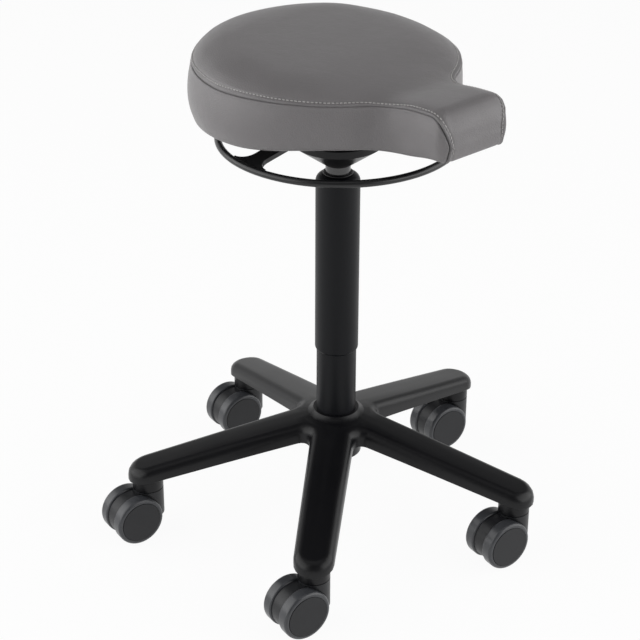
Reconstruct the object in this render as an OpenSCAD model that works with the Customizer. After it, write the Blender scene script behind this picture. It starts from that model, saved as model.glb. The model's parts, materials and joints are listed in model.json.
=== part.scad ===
// Saddle stool on five twin-wheel castors, with a gas-spring column and a ring lever.
// Lengths are millimetres. The column stands on the Z axis, the floor is Z = 0, and the
// nose of the seat points to -Y. The seat is drawn at its lowest height.

/* [Seat] */
// Radius of the round part of the seat
seat_r = 146; // [138:1:154]
// How far the centre of the round part lies behind the column
seat_back = 20; // [14:1:26]
// Reach of the nose in front of the column
nose_reach = 206; // [198:1:214]
// Width of the nose
nose_w = 92; // [86:1:98]
// Radius of the thigh cut-outs beside the nose
thigh_r = 48; // [42:1:54]
// Radius of the front corners of the nose, seen from above
nose_corner_r = 12; // [9:1:16]
// Height of the side band beside the column
band_h = 62; // [56:1:68]
// Rise of the crown above the top seam
crown_h = 24; // [18:1:28]
// How far the side band swells out between its seams
band_swell = 4; // [2:0.5:6]
// How far the lower edge is drawn in
band_tuck = 4; // [2:0.5:6]
// Length of the roll over the front of the nose
nose_roll = 22; // [18:1:28]
// Thickness of the plywood seat board
board_t = 12; // [10:0.5:15]
// Width of the upholstery that wraps under the board
wrap_w = 15; // [12:1:18]

/* [Seat plate] */
// Thickness of the steel seat plate
plate_t = 3; // [2.5:0.5:4]
// Width of the seat plate
plate_w = 170; // [150:2:180]
// Depth of the seat plate from back to front
plate_d = 150; // [136:2:160]
// Radius of the seat plate's corners
plate_corner_r = 24; // [16:1:32]
// Distance of the seat screws from the corners of the plate
screw_inset = 18; // [15:1:22]
// Thread diameter of the seat screws and post screws
screw_d = 6; // [5:0.5:8]

/* [Seat socket] */
// Radius of the trumpet under the seat at its rim
dish_r = 50; // [46:1:54]
// Half angle of the trumpet, measured from upright
dish_angle = 54; // [50:1:58]
// Height of the straight rim of the trumpet
dish_rim_h = 8; // [6:0.5:10]
// Thickness of the wall of the socket
socket_wall = 4; // [3:0.5:5]
// Diameter of the three posts that carry the seat plate
post_d = 13; // [12:0.5:16]
// Radius of the circle that the three posts stand on
post_circle_r = 40; // [38:1:42]

/* [Ring lever] */
// Radius of the lever ring, to the middle of its rod
ring_r = 131.5; // [126:0.5:136]
// Diameter of the rod that the ring is bent from
ring_d = 8; // [7:0.5:10]
// Width of the three spokes
spoke_w = 20; // [17:0.5:21]
// Thickness of the spokes
spoke_t = 5; // [4:0.5:6]
// Radius of the flare where a spoke meets the ring
flare_r = 15; // [10:1:20]
// Radius of the lever's hub
lever_hub_r = 20; // [19:0.5:21]
// Drop of the ring below the hub
ring_drop = 22; // [18:1:24]
// Distance of the lever's pivot pin from the column axis
pivot_reach = 24; // [23:0.5:25]
// Diameter of the pivot pin
pivot_d = 5; // [4:0.5:6]

/* [Gas spring] */
// Diameter of the pressure cylinder, which shows as the neck
cylinder_d = 28; // [26:0.5:30]
// Height of the neck that shows at the lowest setting
neck_show = 9; // [7:0.5:14]
// Travel of the seat from its lowest to its highest setting
lift_travel = 200; // [160:5:205]
// Diameter of the piston rod
rod_d = 10; // [8:0.5:12]
// Diameter of the release pin
pin_d = 8; // [7:0.5:9]
// Travel of the release pin
pin_travel = 3; // [2.5:0.1:3.5]

/* [Column] */
// Outer diameter of the column's upper part
column_d = 50; // [48:0.5:54]
// Outer diameter of the swaged lower part
column_low_d = 46; // [44:0.5:46.5]
// Length of the column
column_len = 348; // [330:1:366]
// Length of the swaged lower part and foot
column_low_len = 128; // [110:1:150]
// Wall thickness of the column
column_wall = 2; // [1.5:0.25:3]

/* [Star base] */
// Radius of the circle that the castors stand on
castor_circle_r = 225; // [215:1:240]
// Turn of the base about the column, as drawn
arm_turn = 5.8; // [0:0.1:72]
// Width of an arm at its rounded tip
arm_tip_w = 45; // [42:1:48]
// Half width of an arm where the fillets between the arms begin
arm_root_half = 25; // [24:0.5:27]
// Thickness of an arm at its tip
arm_tip_t = 17; // [15:0.5:20]
// Slope of the arms' upper side
arm_slope = 13; // [11:0.5:15]
// Slope of the arms' lower edge
arm_low_slope = 11.7; // [10:0.1:12.5]
// Radius of the rounded upper edges
arm_edge_r = 10; // [8:0.5:11]
// Radius of the fillets between the arms, seen from above
arm_fillet_r = 12; // [9:1:16]
// Wall thickness of the moulding
base_wall = 3.5; // [3:0.25:4.5]
// Diameter of the boss that takes a castor stem
boss_d = 36; // [33:1:38]
// Height of the boss below the arm
boss_h = 15; // [12:0.5:18]
// Diameter of the hub under the arms
hub_d = 60; // [56:1:64]
// Height of the hub from its lower end to the arms' upper side
hub_len = 54; // [50:1:60]

/* [Castors] */
// Diameter of a castor wheel
wheel_d = 58.4; // [56:0.2:62]
// Width over both wheels of a castor
castor_w = 47; // [45:0.5:50]
// Distance from the stem to the axle, seen from above
castor_trail = 22.7; // [20:0.1:24]
// Direction in which the castors trail, as drawn
castor_turn = 172.2; // [0:0.1:360]
// Width of the hood between the wheels
hood_w = 15.4; // [14:0.2:17]
// Diameter of the stem housing
housing_d = 36; // [34:0.5:38]
// Diameter of the castor stem
stem_d = 11; // [10:0.5:12]
// Diameter of the axle
axle_d = 8; // [7:0.5:9]
// Radius of the disc in the outer face of a wheel
disc_r = 24.2; // [22.5:0.1:24.6]

/* [Hidden] */
arm_count = 5;
arm_step = 360 / arm_count;
castor_parts = ["housing", "axle", "disc_left", "disc_right", "tyre_left", "tyre_right"];
base_nodes = ["star_base", "column_tube", "guide_bush", "foot_washer", "bearing_lower_race",
    "castor_stems", "stem_grip_rings"];
rod_nodes = ["piston_rod", "piston", "bearing_cage", "bearing_balls", "bearing_upper_race",
    "bump_stop", "rod_clip"];
seat_nodes = ["gas_cylinder", "rod_guide", "seat_socket", "pivot_pin", "seat_plate", "post_screws",
    "board_screws", "under_cover", "seat_board", "seat_cushion"];
lever_nodes = ["ring_lever", "release_pin"];
castor_nodes = [for (i = [1:arm_count]) for (p = castor_parts) str("castor_", i, "_", p)];
$fn = 72;

// Clearances and overruns that many pieces share
run_gap = 0.05;
soft_gap = 0.3;
cut = 1;
full_turn = 360;
third_turn = full_turn / 3;

// Colours
moulded_black = [0.09, 0.09, 0.1];
painted_black = [0.13, 0.13, 0.14];
steel_grey = [0.62, 0.63, 0.65];
brass_yellow = [0.72, 0.58, 0.3];
rubber_black = [0.16, 0.16, 0.16];
tyre_grey = [0.31, 0.32, 0.33];
disc_grey = [0.19, 0.19, 0.21];
leather_grey = [0.48, 0.47, 0.47];
plywood_tan = [0.76, 0.62, 0.43];
cloth_black = [0.12, 0.12, 0.13];

// Castor heights: the wheels stand on the floor, and the housing ends just over them
wheel_r = wheel_d / 2;
axle_z = wheel_r;
housing_top_gap = 1.6;
housing_top_z = wheel_d + housing_top_gap;
stem_collar_t = 1;
boss_low_z = housing_top_z + stem_collar_t;

// Star base heights: from the boss up the sloping arms to the hub
arm_low_tip_z = boss_low_z + boss_h;
arm_top_tip_z = arm_low_tip_z + arm_tip_t;
arm_tip_r = arm_tip_w / 2;
function arm_top_z(r) = arm_top_tip_z + tan(arm_slope) * (castor_circle_r - r);
function arm_low_z(r) = arm_low_tip_z + tan(arm_low_slope) * (castor_circle_r - r);
hub_top_z = arm_top_z(column_low_d / 2);
hub_low_z = hub_top_z - hub_len;
socket_depth = 24;
socket_top_z = boss_low_z + socket_depth;

// Column heights
foot_inset = 7;
foot_taper = 2;
column_foot_z = hub_low_z + foot_inset;
column_step_z = column_foot_z + column_low_len;
column_top_z = column_foot_z + column_len;
column_r = column_d / 2;
column_low_r = column_low_d / 2;
column_foot_r = column_low_r - foot_taper;
foot_plate_t = 4;
step_round_r = 5;
shoulder_round_r = 9;

// Thrust bearing and bump stop on the column's foot plate
race_t = 2;
race_r = 13;
ball_d = 4;
ball_count = 8;
ball_circle_r = 9;
cage_t = 2;
neck_step = 1;
neck_d = rod_d - 2 * neck_step;
cage_inset = 1;
lower_race_z = column_foot_z + foot_plate_t;
ball_z = lower_race_z + race_t + run_gap + ball_d / 2;
upper_race_z = ball_z + ball_d / 2 + run_gap;
bump_stop_z = upper_race_z + race_t;
bump_stop_h = 18;
bump_stop_r = 11;
washer_t = 1.5;
clip_t = 1.2;
rod_end_z = column_foot_z - washer_t - 2 * clip_t - run_gap;

// Guide bush in the column's upper end
cylinder_r = cylinder_d / 2;
column_bore_r = column_r - column_wall;
mouth_gap = 2;
mouth_r = cylinder_r + mouth_gap;
bush_len = 80;
bush_lip_t = 2.4;
bush_lip_w = 3;
bush_lip_r = cylinder_r + bush_lip_w;
bush_top_z = column_top_z + bush_lip_t;
bush_low_z = column_top_z - bush_len;

// Gas spring heights
cylinder_wall = 1.8;
cylinder_low_z = bump_stop_z + bump_stop_h + soft_gap;
socket_low_z = bush_top_z + neck_show;
socket_grip = 46;
cylinder_top_z = socket_low_z + socket_grip;
cylinder_taper = 0.7;
valve_h = 30;
guide_h = 24;
piston_h = 14;
piston_spare = 8;
piston_z = cylinder_low_z + guide_h + lift_travel + piston_spare;
rod_r = rod_d / 2;
pin_rest = 5.7;
pin_top_z = cylinder_top_z + pin_rest;
pin_dome_r = 5;
pin_floor_gap = 1;

// Ring lever heights
pad_gap = 0.3;
hub_mid_z = pin_top_z + pad_gap + spoke_t / 2;
ring_z = hub_mid_z - ring_drop;
spoke_sink = 1;
spoke_root_r = lever_hub_r - spoke_sink;
spoke_tilt = atan(ring_drop / (ring_r - spoke_root_r));
spoke_len = (ring_r - spoke_root_r) / cos(spoke_tilt);
knuckle_wall = 2.7;
knuckle_r = pivot_d / 2 + knuckle_wall;
knuckle_side = 1;
knuckle_w = spoke_w + 2 * knuckle_side;
ear_gap = 0.4;
ear_t = 4;
ear_edge = 0.5;
ear_y = knuckle_w / 2 + ear_gap;
pin_head_t = 1.5;
pin_head_w = 1.7;

// Socket, plate, board and cushion heights
dish_lip_t = 0.8;
dish_low_r = cylinder_r + dish_lip_t;
dish_cone_h = (dish_r - dish_low_r) / tan(dish_angle);
dish_rim_z = socket_low_z + dish_cone_h;
dish_top_z = dish_rim_z + dish_rim_h;
plate_gap = 4.3;
plate_low_z = hub_mid_z + knuckle_r + plate_gap;
cover_t = 1;
cover_inset = 1;
cover_low_z = plate_low_z + plate_t;
board_low_z = cover_low_z + cover_t;
board_top_z = board_low_z + board_t;
lip_drop = 12;
seat_low_z = board_low_z - lip_drop;
board_setback = 42;
board_reach = nose_reach - board_setback;
insert_h = 10;

// Saddle shape: the lower edge climbs to the nose, the top rises to both ends, and the crown
// runs out from the thighs to the nose, which is nearly flat
low_climb_share = 0.079;
low_level_reach = 80;
nose_rise = 5;
side_droop = 4.3;
nose_lip_share = 0.5;
nose_crown_share = 0.25;
crown_fall_from = 20;
crown_fall_to = 140;

function lerp(a, b, t) = a + (b - a) * t;
function polar(r, a) = [r * cos(a), r * sin(a)];

// Ring r0 to r1 between two heights, as half a section for a revolved piece
module band(r0, r1, z0, z1) {
    translate([r0, z0]) square([r1 - r0, z1 - z0]);
}

// Revolved solid of half a section
module turned() {
    rotate_extrude() children();
}

module at_arm(i) {
    rotate([0, 0, arm_turn + arm_step * (i - 1)]) children();
}

// Faces of a skin through rings of n points, for rings that run clockwise seen from above
function strip_faces(a, b, n) = [for (j = [0:n - 1])
    let (k = (j + 1) % n)
    each [[a * n + j, a * n + k, b * n + j], [a * n + k, b * n + k, b * n + j]]];
function skin_faces(rings, n) = [for (i = [0:rings - 2]) each strip_faces(i, i + 1, n)];
function flipped(faces) = [for (f = faces) [f[2], f[1], f[0]]];

// Star base

fillet_half = arm_root_half + arm_fillet_r;
fillet_reach = fillet_half / sin(arm_step / 2);
fillet_at = polar(fillet_reach, -arm_step / 2);
tip_from_fillet = [castor_circle_r, 0] - fillet_at;
side_angle = atan2(tip_from_fillet[1], tip_from_fillet[0])
    + acos((arm_fillet_r + arm_tip_r) / norm(tip_from_fillet));
fillet_steps = 3;
side_steps = 4;
tip_steps = 10;
arm_points = 2 * fillet_steps + 2 * side_steps + tip_steps;
tip_flat = 2;
inner_inset = arm_tip_r - tip_flat;
edge_steps = 4;
skin_t = 4;
draft = 0.3;
low_chamfer = 0.8;

// Lower half of one arm's outline, drawn in by d: fillet, straight side, then half the tip
function arm_fillet(d) = [for (i = [0:fillet_steps])
    let (a = lerp(180 - arm_step / 2, side_angle, i / fillet_steps))
    fillet_at + polar(arm_fillet_r + d, a)];
function arm_tip(d) = [for (i = [0:tip_steps])
    let (a = lerp(side_angle - 180, 180 - side_angle, i / tip_steps))
    [castor_circle_r, 0] + polar(arm_tip_r - d, a)];
function between(p, q, steps) = [for (i = [1:steps - 1]) lerp(p, q, i / steps)];
function mirrored(points) = [for (i = [len(points) - 1:-1:0]) [points[i][0], -points[i][1]]];
function arm_outline(d) =
    let (f = arm_fillet(d), t = arm_tip(d), side = between(f[fillet_steps], t[0], side_steps))
    let (back = mirrored(concat(f, side)))
    concat(f, side, t, [for (i = [0:len(back) - 2]) back[i]]);
function turned_point(p, a) = [p[0] * cos(a) - p[1] * sin(a), p[0] * sin(a) + p[1] * cos(a)];
function star_outline(d) = [for (k = [0:arm_count - 1]) each
    [for (p = arm_outline(d)) turned_point(p, arm_step * k)]];
function star_ring(d, drop, low) = [for (p = star_outline(d))
    [p[0], p[1], low ? arm_low_z(norm(p)) + drop : arm_top_z(norm(p)) - drop]];
edge_rings = [for (i = [0:edge_steps])
    let (a = 90 * i / edge_steps)
    star_ring(arm_edge_r * (1 - cos(a)), arm_edge_r * (1 - sin(a)), false)];
star_rings = concat(
    [star_ring(inner_inset, skin_t, false)],
    [star_ring(arm_edge_r + draft, skin_t, false)],
    [star_ring(base_wall + draft, arm_edge_r, false)],
    [star_ring(base_wall, 0, true)],
    [star_ring(low_chamfer, 0, true)],
    [star_ring(0, low_chamfer, true)],
    edge_rings,
    [star_ring(inner_inset, 0, false)]);
star_n = arm_count * arm_points;

// Closes a ring of the star: strips across each arm, and a fan round the hub
function star_cap(ring, centre, up) =
    let (first = ring * star_n)
    let (tris = [for (k = [0:arm_count - 1])
        let (o = first + k * arm_points)
        let (half = arm_points / 2)
        let (next = first + ((k + 1) % arm_count) * arm_points)
        each concat(
            [for (i = [fillet_steps:half - 2]) each [
                [o + i, o + i + 1, o + arm_points - i],
                [o + i + 1, o + arm_points - i - 1, o + arm_points - i]]],
            [[o + half - 1, o + half, o + half + 1]],
            [for (i = [0:fillet_steps - 1]) [o + i, o + i + 1, centre]],
            [[o + fillet_steps, o + arm_points - fillet_steps, centre]],
            [for (i = [0:fillet_steps - 2])
                [o + arm_points - fillet_steps + i, o + arm_points - fillet_steps + i + 1, centre]],
            [[o + arm_points - 1, next, centre]])])
    up ? flipped(tris) : tris;

module star_skin() {
    count = len(star_rings);
    points = concat([for (r = star_rings) each r],
        [[0, 0, arm_top_z(0) - skin_t], [0, 0, arm_top_z(0)]]);
    polyhedron(points, concat(
        star_cap(0, count * star_n, false),
        flipped(skin_faces(count, star_n)),
        star_cap(count - 1, count * star_n + 1, true)));
}

rib_t = 3;
rib_lift = 1.5;
cross_rib_shares = [0.3, 0.5, 0.7];
floor_t = 3;
floor_lift = 1;
collar_wall = 0.8;
collar_rise = 3;
collar_reach = 16;

function rib_low_z(r) = arm_low_z(r) + rib_lift;
function web_top_z(r) = arm_top_z(r) - skin_t / 2;

// Slab along the arm from r0 to r1, with its lower and upper heights at both ends
module arm_slab(r0, r1, w, low, top) {
    rotate([90, 0, 0]) linear_extrude(w, center = true)
        polygon([[r0, low[0]], [r1, low[1]], [r1, top[1]], [r0, top[0]]]);
}

// Rib that runs along the arm from the hub to the castor boss
module long_rib() {
    r0 = hub_d / 2 - cut;
    r1 = castor_circle_r - boss_d / 2 + cut;
    arm_slab(r0, r1, rib_t, [rib_low_z(r0), rib_low_z(r1)], [web_top_z(r0), web_top_z(r1)]);
}

// Castor boss: it ends in a floor across the arm's tip, and its core runs on to the skin
module castor_boss() {
    r0 = castor_circle_r - arm_tip_r;
    r1 = castor_circle_r + arm_tip_r;
    full_h = arm_top_z(r0) - boss_low_z;
    low = [rib_low_z(r0) + floor_lift, rib_low_z(r1) + floor_lift];
    boss_low = [boss_low_z, boss_low_z];
    intersection() {
        translate([castor_circle_r, 0, boss_low_z]) cylinder(r = arm_tip_r - base_wall / 2, h = full_h);
        arm_slab(r0, r1, arm_tip_w, low, [low[0] + floor_t, low[1] + floor_t]);
    }
    intersection() {
        translate([castor_circle_r, 0, boss_low_z]) cylinder(d = boss_d, h = full_h);
        arm_slab(r0, r1, arm_tip_w, boss_low, [low[0] + floor_t / 2, low[1] + floor_t / 2]);
    }
    intersection() {
        translate([castor_circle_r, 0, boss_low_z]) cylinder(d = stem_d + 2 * base_wall, h = full_h);
        arm_slab(r0, r1, arm_tip_w, boss_low, [web_top_z(r0), web_top_z(r1)]);
    }
}

// Rib across the arm, with its upper corners clear of the rounded edges
module cross_rib(share) {
    r = lerp(hub_d / 2, castor_circle_r - boss_d / 2, share);
    half = lerp(arm_root_half, arm_tip_r, share) - base_wall / 2;
    top = arm_top_z(r);
    translate([r, 0, 0]) rotate([90, 0, 90]) linear_extrude(rib_t, center = true) polygon([
        [-half, rib_low_z(r)], [half, rib_low_z(r)],
        [half, top - arm_edge_r], [half - arm_edge_r, web_top_z(r)],
        [arm_edge_r - half, web_top_z(r)], [-half, top - arm_edge_r]]);
}

// Concave collar that leads the arms up to the column
module hub_collar() {
    r0 = column_low_r + collar_wall;
    r1 = r0 + collar_reach;
    turned() difference() {
        band(column_low_r, r1, web_top_z(r1), arm_top_z(r0) + collar_rise);
        translate([r1, arm_top_z(r1) + collar_reach]) circle(collar_reach);
    }
}

module star_base() {
    color(moulded_black) difference() {
        union() {
            rotate([0, 0, arm_turn]) star_skin();
            hub_collar();
            translate([0, 0, hub_low_z]) cylinder(d = hub_d, h = web_top_z(hub_d / 2) - hub_low_z);
            for (i = [1:arm_count]) at_arm(i) {
                castor_boss();
                long_rib();
                for (share = cross_rib_shares) cross_rib(share);
            }
        }
        column_space();
        for (i = [1:arm_count]) at_arm(i) translate([castor_circle_r, 0, boss_low_z - cut])
            cylinder(d = stem_d + 2 * run_gap, h = socket_depth + cut);
    }
}

// Bore that takes the column: a taper over the foot, and straight above it
module column_space() {
    foot_r = column_foot_r + run_gap;
    bore_r = column_low_r + run_gap;
    turned() polygon([[0, hub_low_z - cut], [foot_r, hub_low_z - cut], [foot_r, column_foot_z],
        [bore_r, hub_top_z], [bore_r, hub_top_z + hub_len], [0, hub_top_z + hub_len]]);
}

// Column and guide bush

module column_tube() {
    inner_foot_r = column_foot_r - column_wall;
    color(painted_black) turned() difference() {
        union() {
            polygon([[0, column_foot_z], [column_foot_r, column_foot_z],
                [column_low_r, hub_top_z], [0, hub_top_z]]);
            band(0, column_low_r, hub_top_z - cut, column_step_z + step_round_r);
            band(0, column_r - step_round_r, column_step_z, column_step_z + step_round_r + cut);
            translate([column_r - step_round_r, column_step_z + step_round_r])
                circle(step_round_r);
            band(0, column_r, column_step_z + step_round_r, column_top_z - shoulder_round_r);
            translate([column_r - shoulder_round_r, column_top_z - shoulder_round_r])
                circle(shoulder_round_r);
            band(0, column_r - shoulder_round_r, column_top_z - shoulder_round_r - cut,
                column_top_z);
        }
        band(0, inner_foot_r, column_foot_z + foot_plate_t, column_step_z + step_round_r);
        band(0, column_bore_r, column_step_z + step_round_r, column_top_z - shoulder_round_r);
        band(0, neck_d / 2 + 2 * run_gap, column_foot_z - cut, column_foot_z + foot_plate_t + cut);
        band(0, mouth_r, column_top_z - shoulder_round_r - cut, column_top_z + cut);
        translate([-column_d, column_foot_z - cut]) square([column_d, column_len + 2 * cut]);
    }
}

bush_rib_count = 4;
bush_rib_h = 6;
bush_sleeve_t = 2;

module guide_bush() {
    bore_r = cylinder_r + run_gap;
    sleeve_r = bore_r + bush_sleeve_t;
    body_top = column_top_z - shoulder_round_r - run_gap;
    color(moulded_black) turned() {
        band(bore_r, mouth_r - run_gap, bush_low_z, column_top_z + cut / 2);
        band(bore_r, sleeve_r, bush_low_z, body_top);
        for (i = [0:bush_rib_count - 1])
            band(bore_r, column_bore_r - run_gap,
                lerp(bush_low_z, body_top - bush_rib_h, i / (bush_rib_count - 1)),
                lerp(bush_low_z, body_top - bush_rib_h, i / (bush_rib_count - 1)) + bush_rib_h);
        band(bore_r, bush_lip_r - bush_lip_t / 2, column_top_z, bush_top_z);
        translate([bush_lip_r - bush_lip_t / 2, column_top_z + bush_lip_t / 2])
            circle(bush_lip_t / 2);
    }
}

// Foot of the gas spring: washer, thrust bearing, bump stop and clip

module foot_washer() {
    color(steel_grey) turned()
        band(neck_d / 2 + 2 * run_gap, race_r, column_foot_z - washer_t, column_foot_z);
}

module bearing_lower_race() {
    color(steel_grey) turned() difference() {
        band(rod_r + run_gap, race_r, lower_race_z, lower_race_z + race_t);
        translate([ball_circle_r, ball_z]) circle(ball_d / 2 + 2 * run_gap);
    }
}

module bearing_upper_race() {
    color(steel_grey) turned() difference() {
        band(neck_d / 2 + run_gap, race_r, upper_race_z, bump_stop_z);
        translate([ball_circle_r, ball_z]) circle(ball_d / 2 + 2 * run_gap);
    }
}

module bearing_balls() {
    color(steel_grey) for (i = [0:ball_count - 1]) rotate([0, 0, i * full_turn / ball_count])
        translate([ball_circle_r, 0, ball_z]) sphere(d = ball_d);
}

module bearing_cage() {
    color(brass_yellow) difference() {
        translate([0, 0, ball_z - cage_t / 2]) cylinder(r = race_r - cage_inset, h = cage_t);
        translate([0, 0, ball_z - cage_t]) cylinder(r = rod_r + run_gap, h = 2 * cage_t);
        for (i = [0:ball_count - 1]) rotate([0, 0, i * full_turn / ball_count])
            translate([ball_circle_r, 0, ball_z - cage_t])
                cylinder(r = ball_d / 2 + run_gap, h = 2 * cage_t);
    }
}

module bump_stop() {
    waist = 1.5;
    color(rubber_black) turned() difference() {
        band(rod_r + run_gap, bump_stop_r, bump_stop_z, bump_stop_z + bump_stop_h);
        translate([bump_stop_r + waist, bump_stop_z + bump_stop_h / 2]) circle(2 * waist);
    }
}

module piston_rod() {
    color(steel_grey) turned() difference() {
        union() {
            band(0, neck_d / 2, rod_end_z, bump_stop_z + cut);
            band(0, rod_r, bump_stop_z, piston_z + piston_h);
        }
        band(neck_d / 2 - clip_t, rod_d, rod_end_z + clip_t / 2, rod_end_z + 3 * clip_t / 2);
    }
}

module rod_clip() {
    slot_w = neck_d - 2 * clip_t;
    color(steel_grey) difference() {
        translate([0, 0, rod_end_z + clip_t / 2 + run_gap])
            cylinder(r = rod_r + clip_t, h = clip_t - run_gap);
        translate([0, 0, rod_end_z])
            cylinder(r = neck_d / 2 - clip_t + run_gap, h = 2 * clip_t);
        translate([0, -slot_w / 2, rod_end_z]) cube([rod_d, slot_w, 2 * clip_t]);
    }
}

module piston() {
    groove_d = 3;
    color(steel_grey) turned() difference() {
        band(rod_r + run_gap, cylinder_r - cylinder_wall - run_gap, piston_z, piston_z + piston_h);
        translate([cylinder_r - cylinder_wall, piston_z + piston_h / 2]) circle(groove_d / 2);
    }
}

module rod_guide() {
    seal_groove = 2;
    guide_r = cylinder_r - cylinder_wall - run_gap;
    color(moulded_black) turned() difference() {
        band(rod_r + run_gap, guide_r, cylinder_low_z + seal_groove, cylinder_low_z + guide_h);
        translate([guide_r, cylinder_low_z + guide_h / 2]) circle(seal_groove);
    }
}

module gas_cylinder() {
    bore_r = cylinder_r - cylinder_wall;
    color(painted_black) turned() difference() {
        union() {
            band(0, cylinder_r, cylinder_low_z, socket_low_z);
            polygon([[0, socket_low_z - cut], [cylinder_r, socket_low_z - cut],
                [cylinder_r, socket_low_z], [cylinder_r - cylinder_taper, cylinder_top_z],
                [0, cylinder_top_z]]);
        }
        band(0, bore_r, cylinder_low_z + cylinder_wall, cylinder_top_z - valve_h);
        band(0, rod_r + 2 * run_gap, cylinder_low_z - cut, cylinder_low_z + 2 * cylinder_wall);
        band(0, pin_d / 2 + run_gap, cylinder_top_z - valve_h + cylinder_wall,
            cylinder_top_z + cut);
    }
}

module release_pin() {
    pin_low_z = cylinder_top_z - valve_h + cylinder_wall + pin_travel + pin_floor_gap;
    color(steel_grey) intersection() {
        translate([0, 0, pin_low_z]) cylinder(d = pin_d, h = pin_top_z - pin_low_z);
        union() {
            translate([0, 0, pin_top_z - pin_dome_r]) sphere(pin_dome_r);
            translate([0, 0, pin_low_z - cut])
                cylinder(d = 2 * pin_dome_r, h = pin_top_z - pin_dome_r - pin_low_z + cut);
        }
    }
}

// Seat socket: sleeve for the gas spring, trumpet, lever ears and three posts

module socket_turning() {
    sleeve_r = cylinder_r + socket_wall;
    turned() difference() {
        union() {
            polygon([[0, socket_low_z], [dish_low_r, socket_low_z], [dish_r, dish_rim_z],
                [dish_r, dish_top_z], [0, dish_top_z]]);
            band(0, sleeve_r, dish_top_z - cut, cylinder_top_z);
        }
        polygon([[0, socket_low_z - cut], [cylinder_r + run_gap, socket_low_z - cut],
            [cylinder_r + run_gap, socket_low_z],
            [cylinder_r - cylinder_taper + run_gap, cylinder_top_z],
            [cylinder_r - cylinder_taper + run_gap, cylinder_top_z + cut],
            [0, cylinder_top_z + cut]]);
        polygon([[sleeve_r, socket_low_z + (sleeve_r - dish_low_r + socket_wall) / tan(dish_angle)],
            [dish_r - socket_wall, dish_rim_z], [dish_r - socket_wall, dish_top_z - socket_wall],
            [sleeve_r, dish_top_z - socket_wall]]);
    }
}

module pivot_ear() {
    ear_r = knuckle_r + ear_edge;
    root_z = dish_top_z - socket_wall / 2;
    rotate([90, 0, 0]) linear_extrude(ear_t) {
        translate([-pivot_reach, hub_mid_z]) circle(ear_r);
        translate([-pivot_reach - ear_r, root_z]) square([2 * ear_r, hub_mid_z - root_z]);
    }
}

module seat_socket() {
    color(moulded_black) difference() {
        union() {
            socket_turning();
            translate([0, -ear_y, 0]) pivot_ear();
            translate([0, ear_y + ear_t, 0]) pivot_ear();
            for (i = [0:2]) rotate([0, 0, i * third_turn])
                translate([post_circle_r, 0, dish_top_z - socket_wall / 2])
                    cylinder(d = post_d, h = plate_low_z - dish_top_z + socket_wall / 2);
        }
        translate([-pivot_reach, ear_y + ear_t + cut, hub_mid_z]) rotate([90, 0, 0])
            cylinder(d = pivot_d + run_gap, h = 2 * (ear_y + ear_t + cut));
        for (i = [0:2]) rotate([0, 0, i * third_turn])
            translate([post_circle_r, 0, dish_top_z])
                cylinder(d = screw_d + 2 * run_gap, h = plate_low_z - dish_top_z + cut);
    }
}

module pivot_pin() {
    half = ear_y + ear_t + run_gap;
    color(steel_grey) translate([-pivot_reach, 0, hub_mid_z]) rotate([90, 0, 0]) {
        cylinder(d = pivot_d, h = 2 * (half + pin_head_t), center = true);
        for (side = [-1, 1]) translate([0, 0, side * (half + pin_head_t / 2)])
            cylinder(r = pivot_d / 2 + pin_head_w, h = pin_head_t, center = true);
    }
}

// Ring lever: one moulding with hub, three flared spokes and the ring

module spoke_outline() {
    inner_r = ring_r - ring_d / 2;
    flare_y = spoke_w / 2 + flare_r;
    flare_x = sqrt(pow(inner_r - flare_r, 2) - pow(flare_y, 2)) - spoke_root_r;
    stretch = spoke_len - (ring_r - spoke_root_r);
    translate([-cut, -spoke_w / 2]) square([spoke_len + cut, spoke_w]);
    difference() {
        translate([flare_x + stretch, -flare_y])
            square([inner_r + cut - spoke_root_r - flare_x, 2 * flare_y]);
        for (side = [-1, 1]) translate([flare_x + stretch, side * flare_y]) circle(flare_r);
        difference() {
            translate([flare_x, -2 * flare_y]) square(4 * flare_y);
            translate([-spoke_root_r + stretch, 0]) circle(inner_r + cut);
        }
    }
}

module ring_lever() {
    color(painted_black) difference() {
        union() {
            translate([0, 0, ring_z]) turned() translate([ring_r, 0]) circle(d = ring_d);
            for (i = [0:2]) rotate([0, 0, 180 + i * third_turn])
                translate([spoke_root_r, 0, hub_mid_z]) rotate([0, spoke_tilt, 0])
                    linear_extrude(spoke_t, center = true) spoke_outline();
            translate([0, 0, hub_mid_z]) cylinder(r = lever_hub_r, h = spoke_t, center = true);
            translate([-pivot_reach, 0, hub_mid_z]) rotate([90, 0, 0])
                cylinder(r = knuckle_r, h = knuckle_w, center = true);
        }
        translate([-pivot_reach, 0, hub_mid_z]) rotate([90, 0, 0])
            cylinder(d = pivot_d + 2 * run_gap, h = knuckle_w + 2 * cut, center = true);
    }
}

// Seat plate and screws

screw_head_w = 2.6;
screw_head_r = screw_d / 2 + screw_head_w;
screw_head_h = 2;
plate_hole_gap = 3;
corner_x = plate_w / 2 - screw_inset;
corner_y = plate_d / 2 - screw_inset;

module at_corners() {
    for (sx = [-1, 1]) for (sy = [-1, 1])
        translate([sx * corner_x, sy * corner_y + seat_back / 2, 0]) children();
}

module plate_outline() {
    translate([0, seat_back / 2]) union() {
        square([plate_w - 2 * plate_corner_r, plate_d], center = true);
        square([plate_w, plate_d - 2 * plate_corner_r], center = true);
        for (sx = [-1, 1]) for (sy = [-1, 1])
            translate([sx * (plate_w / 2 - plate_corner_r), sy * (plate_d / 2 - plate_corner_r)])
                circle(plate_corner_r);
    }
}

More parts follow.
